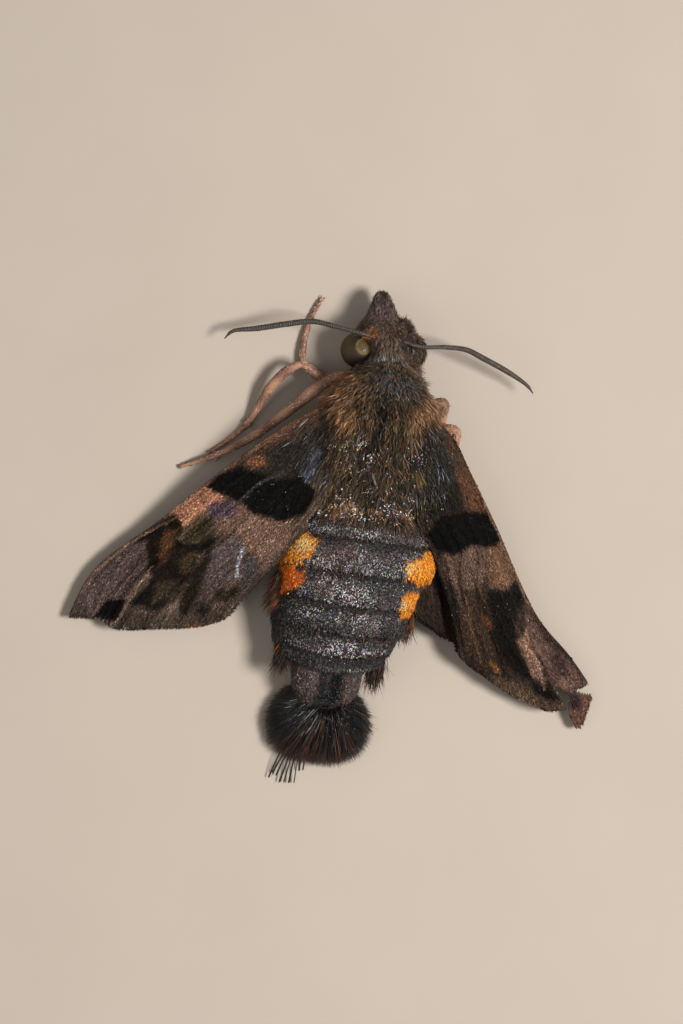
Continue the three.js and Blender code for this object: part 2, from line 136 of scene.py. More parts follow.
class Val:
    # one socket of a material, so that shader maths is written as plain arithmetic
    def __init__(self, finish, socket):
        self.finish = finish
        self.socket = socket

    def join(self, operation, *values):
        return self.finish.node("ShaderNodeMath", {"operation": operation}, dict(enumerate(values)))

    def __add__(self, other):
        return self.join("ADD", self, other)

    def __sub__(self, other):
        return self.join("SUBTRACT", self, other)

    def __rsub__(self, other):
        return self.join("SUBTRACT", other, self)

    def __mul__(self, other):
        return self.join("MULTIPLY", self, other)

    __radd__ = __add__
    __rmul__ = __mul__


class Finish:
    # one material, and the nodes that it is made of
    def __init__(self, name):
        self.material = bpy.data.materials.new(name)
        self.material.use_nodes = True
        self.tree = self.material.node_tree
        self.tree.nodes.clear()

    def node(self, kind, settings={}, inputs={}, output=0):
        # the settings come first, because some of them change the sockets
        made = self.tree.nodes.new(kind)
        for key, value in settings.items():
            setattr(made, key, value)
        for key, value in inputs.items():
            if isinstance(value, Val):
                self.tree.links.new(value.socket, made.inputs[key])
            else:
                made.inputs[key].default_value = value
        return Val(self, made.outputs[output]) if len(made.outputs) else None

    def layer(self, name, output="Fac"):
        # what the mesh carries under this name: Color, Vector or Fac
        return self.node("ShaderNodeAttribute", {"attribute_name": name}, {}, output)

    def place(self):
        return self.node("ShaderNodeTexCoord", {}, {}, "Object")

    def grain(self, size, detail=2):
        # noise with lumps of about this size in millimetres
        return self.node("ShaderNodeTexNoise", {},
                         {"Vector": self.place(), "Scale": 1 / (size * mm), "Detail": detail})

    def cells(self, where, scale, output):
        # a mosaic: the Distance from the middle of a cell, or a Color of each cell's own
        return self.node("ShaderNodeTexVoronoi", {}, {"Vector": where, "Scale": scale}, output)

    def red(self, colour):
        return self.node("ShaderNodeSeparateColor", {}, {0: colour})

    def smooth(self, value, low, high):
        return self.node("ShaderNodeMapRange", {"interpolation_type": "SMOOTHSTEP"},
                         {"Value": value, "From Min": low, "From Max": high})

    def mix(self, first, second, factor):
        first, second = (c if isinstance(c, Val) else (*linear(c), 1) for c in (first, second))
        return self.node("ShaderNodeMix", {"data_type": "RGBA"}, {0: factor, 6: first, 7: second}, 2)

    def shade(self, colour, strength):
        # a colour made darker or lighter by a value
        return self.node("ShaderNodeVectorMath", {"operation": "SCALE"}, {0: colour, "Scale": strength})

    def surface(self, colour, roughness, bump=None, bumpHeight=0.05, **fixed):
        sockets = {"Base Color": colour, "Roughness": roughness}
        if bump is not None:
            height = {"Height": bump, "Distance": bumpHeight * mm, "Strength": 1.0}
            sockets["Normal"] = self.node("ShaderNodeBump", {}, height)
        sockets.update({key.replace("_", " "): value for key, value in fixed.items()})
        shader = self.node("ShaderNodeBsdfPrincipled", {}, sockets)
        self.node("ShaderNodeOutputMaterial", {}, {"Surface": shader})
        return self.material


def coatFinish(name, rough, gloss, root=0.5, glitter=False):
    # hairs and scales: each one's own tint, times `root` at its foot and 1.15 at its tip, a painted shade
    # that darkens each one towards its foot, with fine streaks;
    # with glitter, tiny bright specks of every pale colour, painted glints, where the layer of that name is
    # high
    f = Finish(name)
    streak = f.grain(0.05)
    # painted shade: each hair darker towards its foot
    along = root + (1.15 - root) * f.layer("along")
    colour = f.shade(f.layer("tint", "Color"), along * (0.75 + 0.5 * streak))
    # painted glints: pale specks mixed into the colour
    if glitter:
        own = f.cells(f.place(), 1 / (0.085 * mm), "Color")
        pick = f.red(own)
        pale = f.mix(own, (206, 232, 230), 0.5)
        speck = f.smooth(pick * (0.3 + 1.3 * f.grain(0.5, detail=1)), 0.5, 0.66) * f.layer("glitter")
        colour = f.mix(colour, f.shade(pale, 0.1 + 0.95 * pick), speck)
    return f.surface(colour, rough + 0.2 * (streak - 0.5), Specular_IOR_Level=gloss)


def skinFinish():
    # the skin under the coat: the coat's colours, darker, with short flat scales
    f = Finish("skin")
    lumps = f.grain(0.12, detail=3)
    return f.surface(f.shade(f.layer("tint", "Color"), 0.25 + 0.6 * lumps), 0.75, lumps, 0.05)


def membraneFinish(name):
    # the wing under its scales: rows of tiny scales in bump, brightness that changes from one to the next
    f = Finish(name)
    lie = f.node("ShaderNodeVectorMath", {"operation": "MULTIPLY"},
                 {0: f.layer("lie", "Vector"), 1: (4.5, 9.0, 0)})
    bright = f.red(f.cells(lie, 1.0, "Color"))
    colour = f.shade(f.layer("tint", "Color"), 0.5 + 0.7 * bright)
    bump = 1 - f.cells(lie, 1.0, "Distance")
    return f.surface(colour, 0.6 + 0.3 * bright, bump, 0.03, Specular_IOR_Level=0.12)


def eyeFinish():
    # a dome of tiny facets, olive, with a painted glow: a pale patch of eyeshine where it looks up and out
    f = Finish("eyeLens")
    facets = f.cells(f.place(), 1 / (0.05 * mm), "Distance")
    # painted glow: the olive turns to pale eyeshine where this layer is high
    colour = f.mix((40, 31, 15), (126, 100, 54), f.layer("paintedGlow"))
    colour = f.shade(colour, 0.4 + 1.0 * f.grain(0.12))
    return f.surface(colour, 0.5 + 0.2 * f.grain(0.3), 1 - facets, 0.006, Coat_Weight=0.05,
                     Specular_IOR_Level=0.3)


def limbFinish(name, light, dark, ringSize):
    # scales on legs and feelers: rings along the limb, grains across it
    f = Finish(name)
    rings = f.node("ShaderNodeMath", {"operation": "SINE"}, {0: f.layer("along") * (2 * math.pi / ringSize)})
    grains = f.grain(0.09, detail=3)
    colour = f.mix(dark, light, f.smooth(grains + 0.12 * rings, 0.3, 0.7))
    return f.surface(colour, 0.4 + 0.3 * grains, grains + 0.4 * rings, 0.03)


# ---- meshes

def makePiece(name, points, faces, material, nodes=(), layers={}, home=None):
    # points in millimetres; faces are arrays of corner numbers; layers are values for each point
    mesh = bpy.data.meshes.new(name)
    corners = np.concatenate([f.ravel() for f in faces]).astype(np.int32)
    sides = np.concatenate([np.full(len(f), f.shape[1]) for f in faces])
    mesh.vertices.add(len(points))
    mesh.vertices.foreach_set("co", (points * mm).astype(np.float32).ravel())
    mesh.loops.add(len(corners))
    mesh.loops.foreach_set("vertex_index", corners)
    mesh.polygons.add(len(sides))
    mesh.polygons.foreach_set("loop_start", (np.cumsum(sides) - sides).astype(np.int32))
    mesh.polygons.foreach_set("use_smooth", np.ones(len(sides), bool))
    mesh.update(calc_edges=True)
    for key, values in layers.items():
        kind, field = ("FLOAT", "value") if values.ndim == 1 else ("FLOAT_VECTOR", "vector")
        if key == "tint":
            kind, field = "FLOAT_COLOR", "color"
            values = np.column_stack([values, np.ones(len(values))])
        layer = mesh.attributes.new(key, kind, "POINT")
        layer.data.foreach_set(field, values.astype(np.float32).ravel())
    if home is not None:
        mesh.uv_layers.new(name="OFBake").data.foreach_set("uv", home[corners].astype(np.float32).ravel())
    piece = bpy.data.objects.new(name, mesh)
    bpy.context.scene.collection.objects.link(piece)
    mesh.materials.append(material)
    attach(piece, "root")
    if nodes:
        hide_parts(*nodes)


def rounds(columns):
    # directions evenly round a circle
    return np.arange(columns) / columns * 2 * math.pi


def tubeFaces(rows, columns):
    # a closed tube of rings in quads, with one more point at each end
    ring = np.arange(columns)
    after = (ring + 1) % columns
    start, end = rows * columns, rows * columns + 1
    last = (rows - 1) * columns
    first = columns * np.arange(rows - 1)[:, None]
    wall = np.stack([first + ring, first + after, first + columns + after, first + columns + ring], -1)
    caps = [np.stack([np.full(columns, start), after, ring], -1),
            np.stack([np.full(columns, end), last + ring, last + after], -1)]
    return [wall.reshape(-1, 4), *caps]


def outward(points, faces):
    # turns every face round when the closed shape they make has a negative volume
    volume = 0
    for f in faces:
        a, b, c = points[f[:, 0]], points[f[:, 1]], points[f[:, 2]]
        volume += np.einsum("ij,ij->i", a, np.cross(b, c)).sum()
        if f.shape[1] == 4:
            volume += np.einsum("ij,ij->i", a, np.cross(c, points[f[:, 3]])).sum()
    return faces if volume > 0 else [f[:, ::-1] for f in faces]


def smooth(x, low, high):
    # t²(3 - 2t), where t is the share of the way from low to high
    t = np.clip((x - low) / (high - low), 0, 1)
    return t * t * (3 - 2 * t)


def hump(x, middle, width):
    # one at the middle, falling off as a bell with this half width
    return np.exp(-(((x - middle) / width) ** 2))


def ripple(p, size, seed):
    # ten sine waves of this size in random directions, summed to about -1 to 1
    r = np.random.default_rng(seed)
    waves = r.normal(size=(10, 3)) * (2 * math.pi / size / 1.7)
    return np.sin(p @ waves.T + r.uniform(0, 2 * math.pi, 10)).sum(-1) / 4.5


def lineDistance(plan, path):
    # how far points are from a path of straight pieces
    best = np.full(plan.shape[:-1], 1e9)
    for a, b in zip(np.asarray(path, float)[:-1], np.asarray(path, float)[1:]):
        t = np.clip(((plan - a) @ (b - a)) / ((b - a) @ (b - a)), 0, 1)
        best = np.minimum(best, np.linalg.norm(plan - a - t[..., None] * (b - a), axis=-1))
    return best


def insideBy(plan, outline):
    # distance to an outline, above zero inside it; a point is inside where a ray crosses it an odd number of
    # times
    corners = np.asarray(outline, float)
    inside = np.zeros(plan.shape[:-1], bool)
    x, y = plan[..., 0], plan[..., 1]
    for (x0, y0), (x1, y1) in zip(corners, np.roll(corners, -1, axis=0)):
        crosses = (y0 > y) != (y1 > y)
        inside ^= crosses & (x < (x1 - x0) * (y - y0) / (y1 - y0 if y1 != y0 else 1e-9) + x0)
    distance = lineDistance(plan, np.vstack([corners, corners[:1]]))
    return np.where(inside, distance, -distance)


def curveAt(points, t, even=False):
    # a smooth curve through points: on each span a cubic whose end slopes weigh the spans by the root of
    # their lengths. t runs over the spans, or over the curve's length when even is true.
    p = np.asarray(points, float)
    t = np.asarray(t, float)
    if even:
        fine = np.linspace(0, 1, 400)
        steps = np.linalg.norm(np.diff(curveAt(p, fine), axis=0), axis=1)
        length = np.concatenate([[0], np.cumsum(steps)])
        t = np.interp(t * length[-1], length, fine)
    p = np.vstack([2 * p[0] - p[1], p, 2 * p[-1] - p[-2]])
    spans = len(p) - 3
    at = np.clip(t * spans, 0, spans - 1e-9)
    i = at.astype(int)
    w = (at - i)[..., None]
    p0, p1, p2, p3 = (p[i + k] for k in range(4))
    a, b, c = (np.sqrt(np.linalg.norm(v, axis=-1, keepdims=True)) for v in (p1 - p0, p2 - p1, p3 - p2))
    leave = ((p1 - p0) / a - (p2 - p0) / (a + b) + (p2 - p1) / b) * b
    arrive = ((p2 - p1) / b - (p3 - p1) / (b + c) + (p3 - p2) / c) * b
    return (p1 * (1 + 2 * w) * (1 - w) ** 2 + leave * w * (1 - w) ** 2
            + p2 * w * w * (3 - 2 * w) - arrive * w * w * (1 - w))


def profileAt(table, s):
    # columns of a table by its first one: a cubic between rows, level at a peak and otherwise with the
    # harmonic mean of the slopes on both sides, so that it never overshoots
    at, values = table[:, 0], table[:, 1:]
    rate = np.diff(values, axis=0) / np.diff(at)[:, None]
    before, after = rate[:-1], rate[1:]
    agree = before * after > 0
    mean = np.where(agree, 2 * before * after / np.where(agree, before + after, 1), 0)
    slopes = np.vstack([rate[:1], mean, rate[-1:]])
    i = np.clip(np.searchsorted(at, s, side="right") - 1, 0, len(at) - 2)
    step = at[i + 1] - at[i]
    t = np.clip((s - at[i]) / step, 0, 1)[..., None]
    step = step[..., None]
    rise = t * t * (3 - 2 * t)
    bend = t * (1 - t) * step * ((1 - t) * slopes[i] - t * slopes[i + 1])
    return values[i] * (1 - rise) + values[i + 1] * rise + bend


# ---- the body's form, with its coat on and under it

body = {
    # place along the body, half width, underside and back, out to the tips of the coat
    "sections": np.array([
        (-9.95, 0.12, 1.9, 2.4), (-9.85, 0.38, 1.7, 2.7), (-9.6, 0.6, 1.55, 3.05), (-9.2, 0.78, 1.4, 3.4),
        (-8.6, 1.02, 1.25, 3.75), (-8.0, 1.38, 1.1, 4.1),
        (-7.3, 1.9, 1.0, 4.9), (-6.4, 2.3, 0.8, 5.6), (-5.3, 2.45, 0.7, 5.8), (-4.4, 3.1, 0.6, 6.7),
        (-2.4, 4.0, 0.1, 8.0), (-0.4, 4.3, -0.3, 8.8), (2.0, 4.2, -0.3, 8.8), (5.4, 4.4, -0.1, 7.6),
        (8.8, 5.65, -0.3, 7.2), (11.6, 4.9, -0.3, 6.8), (14.0, 4.7, -0.2, 5.9), (15.0, 4.5, -0.1, 5.6),
        (16.2, 4.1, 0.2, 5.1), (17.0, 3.8, 0.4, 4.7),
        (17.25, 2.65, 0.8, 4.25), (18.2, 2.5, 1.0, 4.1), (18.9, 2.2, 1.1, 3.8), (19.5, 1.7, 1.1, 3.0),
        (20.0, 1.2, 1.1, 2.2), (22.4, 0.5, 0.9, 1.3),
    ]),
    # how deep under the tips the skin lies
    "depth": np.array([
        (-9.95, 0.08), (-9.0, 0.14), (-7.5, 0.2), (-6.0, 0.26), (-5.0, 0.34), (-3.5, 0.4), (2.0, 0.42),
        (5.0, 0.4), (6.4, 0.22), (9.0, 0.14), (16.5, 0.14), (18.0, 0.16), (20.0, 0.3), (22.4, 0.3),
    ]),
    "squareness": 0.84,
    "neck": (-0.5, -4.9),
    "headTurn": 7,
    # how far the middle line lies to the left of the middle of the thorax
    "sway": np.array([(-9.95, -0.5), (-3.0, -0.5), (4.0, -0.2), (9.0, -0.5), (12.0, -0.2), (14.0, 0.05),
                      (16.0, 0.25), (18.0, 0.28), (22.4, 0.28)]),
    "ringEnds": np.array([5.4, 7.4, 9.8, 12.1, 14.2, 15.8, 17.0]),
    "floorGap": 0.1,
    "leftSocket": 1.3,  # how far the head's back is let down under each eye
    "rightSocket": 0.8,
    "rows": 400,
    "columns": 120,
}


eye = {
    # from the neck: to the side, forwards and up
    "across": 1.75, "along": -0.9, "up": 3.0, "radius": 1.28, "rows": 48, "columns": 72,
    # the pale patch is a painted glow of eyeshine: the way it faces and its half size
    "glowLook": (-0.08, -0.2, 0.97), "glowHalf": 0.47,
}


def spun(x, y, angle):
    # turned about the neck: x * cos - y * sin, x * sin + y * cos
    neckX, neckY = body["neck"]
    return neckX + x * np.cos(angle) - y * np.sin(angle), neckY + x * np.sin(angle) + y * np.cos(angle)


def headPlace(path):
    # from the head's frame to the moth's
    x, y, z = np.asarray(path, float).T
    return np.column_stack([*spun(x, y, math.radians(body["headTurn"])), z])


def eyePlace(side):
    return headPlace([(side * eye["across"], eye["along"], eye["up"])])[0]


def squared(v):
    # a power below one, which fills the corners of a circle
    return np.sign(v) * np.abs(v) ** body["squareness"]


def ringPhase(s):
    # 0 at the front of each ring of the abdomen and 1 at its rear edge, -1 off the abdomen
    ends = body["ringEnds"]
    i = np.clip(np.searchsorted(ends, s, side="right") - 1, 0, len(ends) - 2)
    phase = (s - ends[i]) / (ends[i + 1] - ends[i])
    return np.where((s >= ends[0]) & (s < ends[-1]), phase, -1)


def bodyPoint(s, turn):
    # a squared ellipse at each place s along the body: x = half * sin, z = middle + height * cos, both taken
    # in by the coat's depth; the rings' edges bow back at the tail and forward at the collar
    half, low, high = np.moveaxis(profileAt(body["sections"], s), -1, 0)
    phase = ringPhase(s)
    step = np.where(phase >= 0, 0.12 * phase**2 - 0.16 * hump(phase, 0, 0.12), 0)
    across, up = squared(np.sin(turn)), squared(np.cos(turn))
    inward = profileAt(body["depth"], s)[..., 0] - step
    half = np.maximum(half - inward, 0.05)
    low, high = low + inward, high - inward
    bow = 0.9 * np.clip((s - 5.4) / 11.6, 0, 1) ** 2 * (1 - smooth(s, 17.0, 17.8))
    bow = bow - 1.3 * np.clip(-s / 5.4, 0, 1) ** 2 * (1 - smooth(-s, 5.4, 6.6))
    x = half * across + profileAt(body["sway"], s)[..., 0]
    y = s - bow * across**2
    lobes = 1.25 * smooth(s, 16.95, 17.3) * (1 - smooth(s, 19.2, 19.9)) * hump(half * across, -0.15, 0.8)
    palps = 0.35 * smooth(-s, 7.7, 8.7) * hump(half * across, 0, 0.22)
    z = (low + high) / 2 + up * (high - low) / 2 - (lobes + palps) * smooth(np.cos(turn), 0, 0.4)
    z = np.maximum(z, body["floorGap"])
    neckX, neckY = body["neck"]
    x, y = spun(x - neckX, y - neckY, math.radians(body["headTurn"]) * (1 - smooth(s, -6.0, -4.4)))
    for side, depth in ((1, body["leftSocket"]), (-1, body["rightSocket"])):
        off = np.linalg.norm(np.stack([x, y], -1) - eyePlace(side)[:2], axis=-1)
        z = z - depth * (1 - smooth(off, 0.6, 1.25)) * smooth(z, 3.2, 4.0)
    return np.stack([x, y, z], -1)


def bodyFrame(s, turn):
    # the place, the way to the tail, the way round and the way out, by small steps
    p = bodyPoint(s, turn)
    back = unit(bodyPoint(s + 0.05, turn) - bodyPoint(s - 0.05, turn))
    around = unit(bodyPoint(s, turn + 0.02) - bodyPoint(s, turn - 0.02))
    out = unit(np.cross(around, back))
    centre = np.stack([0 * s, p[..., 1], 0 * s + 3.0], -1)
    out = np.where((np.einsum("...i,...i->...", out, p - centre) < 0)[..., None], -out, out)
    return p, back, around, out


def scatter(count, span, turns, density=lambda s, turn: 1.0):
    # places over the body, drawn so that each has the same area, times a density
    found = np.zeros((0, 2))
    while len(found) < count:
        s = rng.uniform(*span, count * 3)
        turn = rng.uniform(*turns, count * 3)
        ds = bodyPoint(s + 0.05, turn) - bodyPoint(s - 0.05, turn)
        dt = bodyPoint(s, turn + 0.02) - bodyPoint(s, turn - 0.02)
        area = np.linalg.norm(np.cross(ds, dt), axis=-1) * density(s, turn)
        keep = rng.uniform(0, np.quantile(area, 0.995), len(area)) < area
        found = np.vstack([found, np.column_stack([s, turn])[keep]])
    return found[:count, 0], found[:count, 1]


def bodyHome(s, turn):
    # the unwrap of the skin: along the body and round it
    return np.column_stack([(s + 10.5) / 34.5, 0.5 + turn / (2 * math.pi) * 0.98])


# ---- the body's colours

palette = {
    "olive": (104, 84, 58), "darkOlive": (44, 38, 26), "ginger": (166, 122, 86), "brown": (84, 62, 46),
    "grey": (84, 78, 76), "paleGrey": (150, 146, 140), "rust": (142, 88, 54), "blackBrown": (34, 28, 25),
    "black": (20, 18, 18), "blueWhite": (188, 204, 226), "pink": (204, 166, 184), "teal": (128, 186, 180),
    "white": (250, 248, 246), "orange": (240, 138, 28), "redOrange": (246, 112, 20), "cream": (226, 188, 118),
    "plum": (82, 66, 66), "chestnut": (104, 58, 38), "yellowOlive": (122, 98, 46), "redBrown": (84, 44, 34),
    "taupe": (98, 80, 68),
}
colours = {name: linear(value) for name, value in palette.items()}

# patches on head and thorax: colour, middle in plan, half sizes, strength
patches = [
    ("darkOlive", (0.1, -1.3), (0.6, 1.7), 0.95), ("black", (0.15, -1.1), (0.35, 1.4), 0.75),
    ("darkOlive", (0.4, 0.7), (0.9, 0.9), 0.85), ("ginger", (2.3, -3.4), (1.1, 0.9), 0.75),
    ("ginger", (2.7, -2.2), (0.9, 1.4), 0.9), ("ginger", (2.3, -0.9), (0.6, 0.9), 0.85),
    ("ginger", (-2.6, -1.6), (0.8, 1.4), 0.85), ("ginger", (-2.4, 0.2), (0.5, 0.8), 0.85),
    ("ginger", (-3.6, -2.8), (0.8, 1.2), 0.6), ("ginger", (1.5, 5.3), (1.1, 0.7), 0.9),
    ("ginger", (-2.7, 5.1), (0.5, 0.8), 0.6), ("ginger", (3.7, 4.0), (0.5, 1.2), 0.4),
    ("grey", (-0.8, -3.7), (1.7, 0.9), 0.95), ("darkOlive", (-3.7, 0.0), (0.6, 1.3), 0.95),
    ("black", (-4.1, 3.0), (1.1, 1.9), 0.9), ("darkOlive", (-2.2, 2.9), (0.7, 1.2), 0.85),
    ("black", (-3.2, -0.4), (0.8, 1.4), 0.92), ("black", (-2.5, 1.3), (0.75, 1.5), 0.9),
    ("black", (-3.5, 2.2), (0.8, 1.6), 0.9), ("blackBrown", (-1.5, -6.6), (0.6, 0.8), 0.8),
    ("yellowOlive", (-2.9, 2.2), (0.5, 0.5), 0.9), ("darkOlive", (0.1, 4.4), (0.9, 0.7), 0.7),
    ("rust", (0.9, -6.9), (0.55, 0.5), 0.85), ("redBrown", (-0.7, -7.2), (0.4, 0.4), 0.7),
]
# orange spots: outline in plan, the colour, and the middle, size, colour and strength of the pale part
orangeSpots = [
    ([(6.9, 7.9), (5.3, 7.8), (4.5, 7.5), (3.6, 7.4), (3.05, 7.9), (3.15, 8.7), (3.6, 9.3), (4.3, 9.75),
      (5.3, 9.6), (6.9, 9.9)], "orange", (3.9, 8.35), 0.62, "cream", 0.95),
    ([(6.9, 10.2), (5.2, 9.95), (4.4, 9.9), (3.7, 10.2), (3.5, 10.8), (3.9, 11.6), (4.7, 11.8), (6.9, 11.9)],
     "redOrange", (3.6, 10.5), 0.45, "brown", 0.5),
    ([(-7.2, 7.9), (-4.95, 7.7), (-4.5, 8.1), (-3.9, 8.4), (-3.3, 8.7), (-3.3, 9.3), (-3.9, 9.9),
      (-4.5, 10.1), (-5.2, 9.9), (-7.2, 9.7)], "orange", (-3.55, 8.95), 0.62, "cream", 0.8),
    ([(-7.2, 10.9), (-4.1, 10.7), (-3.55, 11.1), (-3.6, 11.9), (-3.9, 12.4), (-4.4, 12.5), (-7.2, 12.3)],
     "orange", (-3.8, 11.6), 0.35, "cream", 0.8),
]


def stir(colour, *layers):
    # colour after colour laid over the first, each by its share at each point
    for name, share in layers:
        colour = colour + (colours[name] - colour) * np.clip(share, 0, 1)[..., None]
    return colour


def oval(plan, middle, half):
    # how far out a place is in an oval: 1 on its edge
    return np.linalg.norm((plan - middle) / half, axis=-1)


def bodyTint(s, turn, p):
    # the coat's colour at a place: ground colours along the body, then patches, then spots
    plan = p[..., :2]
    side = np.abs(np.degrees(turn))
    slow, quick = ripple(p, 2.2, 3), ripple(p, 0.7, 4)
    head, snout = 1 - smooth(s, -5.2, -4.7), smooth(-s, 7.6, 8.4)
    colour = stir(
        np.zeros(p.shape) + colours["olive"],
        ("darkOlive", 0.45 + 0.5 * slow + 0.4 * quick),
        ("brown", 0.35 + 0.5 * ripple(p, 1.5, 5)),
        # painted shade: the coat darker down the sides, away from the back
        ("darkOlive", smooth(side, 52, 82)),
        ("taupe", head * 0.85),
        ("plum", snout * 0.6),
    )
    colour = stir(
        colour * (1 + 0.3 * snout)[..., None],
        ("brown", head * smooth(-turn, 0.35, 0.9) * 0.6),
        ("blackBrown", head * smooth(slow + 0.8 * quick, 0.3, 1.0) * 0.6),
        ("paleGrey", hump(s, -5.4, 0.2) * hump(turn, 0.32, 0.5) * 0.9),
    )
    for name, middle, half, strength in patches:
        away = oval(plan, middle, half) + 0.25 * quick
        colour = stir(colour, (name, strength * (1 - smooth(away, 0.5, 1.25))))
    # the abdomen: dark, darker at the front of each ring, reddish here and there, and darker on the flanks as
    # painted shade
    phase = ringPhase(s)
    belly = smooth(s, 5.2, 6.4)
    colour = stir(
        colour,
        ("blackBrown", belly),
        ("brown", belly * (0.1 + 0.5 * slow)),
        ("redBrown", belly * hump(oval(plan, (1.0, 8.2), (1.0, 1.4)), 0, 1) * 0.6),
        ("grey", belly * (0.1 + 0.35 * ripple(p, 1.1, 8)) * smooth(phase, 0.1, 0.6)),
        ("black", belly * (1 - smooth(phase, 0.05, 0.42)) * 0.9 * (phase >= 0)),
        # painted shade: black on the flanks
        ("black", belly * smooth(side, 50, 72) * 0.8),
        ("black", belly * hump(oval(plan, (3.1, 13.8), (1.3, 2.0)), 0, 1.2) * 0.9),
    )
    colour = colour * (1 - 0.35 * smooth(s, 13.4, 14.6) * (1 - smooth(s, 15.6, 16)))[..., None]
    for outline, spotColour, middle, size, paleColour, strength in orangeSpots:
        inside = smooth(insideBy(plan, outline) + 0.16 * quick + 0.12 * ripple(p, 0.35, 9), -0.12, 0.12)
        inside = inside * (1 - smooth(side, 96, 104)) * belly
        pale = hump(np.linalg.norm(plan - middle, axis=-1) + 0.15 * quick, 0, size)
        colour = stir(colour, (spotColour, inside), (paleColour, inside * pale * strength))
    # the last ring, then the lobes at the tail, with painted shade darkening the furrow between them
    colour = stir(colour, ("black", smooth(s, 15.8, 16.1) * 0.9))
    colour = colour * (1 - 0.3 * smooth(s, 15.8, 16.1) * (1 - smooth(s, 16.7, 16.9)))[..., None]
    lobes = smooth(s, 16.9, 17.2)
    # painted shade in the furrow between the lobes
    furrowShade = lobes * (1 - smooth(np.abs(p[..., 0] - 0.12), 0.6, 0.95))
    colour = stir(
        colour,
        ("paleGrey", hump(s, 16.75, 0.08) * hump(turn, -0.25, 0.35) * 0.6),
        ("brown", lobes * 0.8),
        ("plum", lobes * (0.35 + 0.4 * smooth(quick + slow, -0.4, 0.6))),
        ("darkOlive", furrowShade),
        ("black", furrowShade * 0.8),
    )
    return stir(colour * (1 - 0.6 * furrowShade)[..., None], ("black", smooth(s, 19.5, 19.9)))


def makeSkin():
    # one closed skin from snout to tail, under the coat
    rows, columns = body["rows"], body["columns"]
    s = np.repeat(np.linspace(-9.93, 22.4, rows), columns)
    turn = np.tile(rounds(columns), rows)
    turn = np.where(turn > math.pi, turn - 2 * math.pi, turn)
    points = bodyPoint(s, turn)
    tint = bodyTint(s, turn, points)
    points = np.vstack([points, points[:columns].mean(0), points[-columns:].mean(0)])
    tint = np.vstack([tint, tint[:1], tint[-1:]])
    under = ("head", "palp", "collar", "thorax", "tegula", "abdomen", "tail")
    nodes = [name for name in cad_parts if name.startswith(under)]
    faces = outward(points, tubeFaces(rows, columns))
    makePiece("skin", points, faces, skinFinish(), nodes, {"tint": tint})


# ---- hairs and scales

hairShape = ((0.2, 0.9), (0.65, 0.8))  # share of the length, share of the width; a point at each end
longShape = ((0.12, 0.8), (0.45, 1.0), (0.8, 0.7))
bluntShape = ((0.05, 0.7), (0.5, 0.9), (0.95, 1.0))
scaleShape = ((0.62, 1.0),)
total = {"coat": 0}


def turned(first, second, angle):
    # a direction between two: first * cos + second * sin
    return first * np.cos(angle)[:, None] + second * np.sin(angle)[:, None]


def ruffled(lie, spread):
    # directions, each pushed a random way
    return unit(lie + rng.normal(0, spread, lie.shape))


def above(lie):
    # the way up, square to a direction
    return unit(np.array([0, 0, 1.0]) - lie * lie[:, 2:])


def picked(which, *arrays):
    return [a[which] for a in arrays]


def about(low, high, like):
    # a random number for each row of an array
    return rng.uniform(low, high, len(like))


def plain(name, count):
    return np.zeros((count, 3)) + colours[name]


def isSpot(ground):
    # true on the orange spots: a colour far from grey
    return np.ptp(ground, axis=1) > 0.12


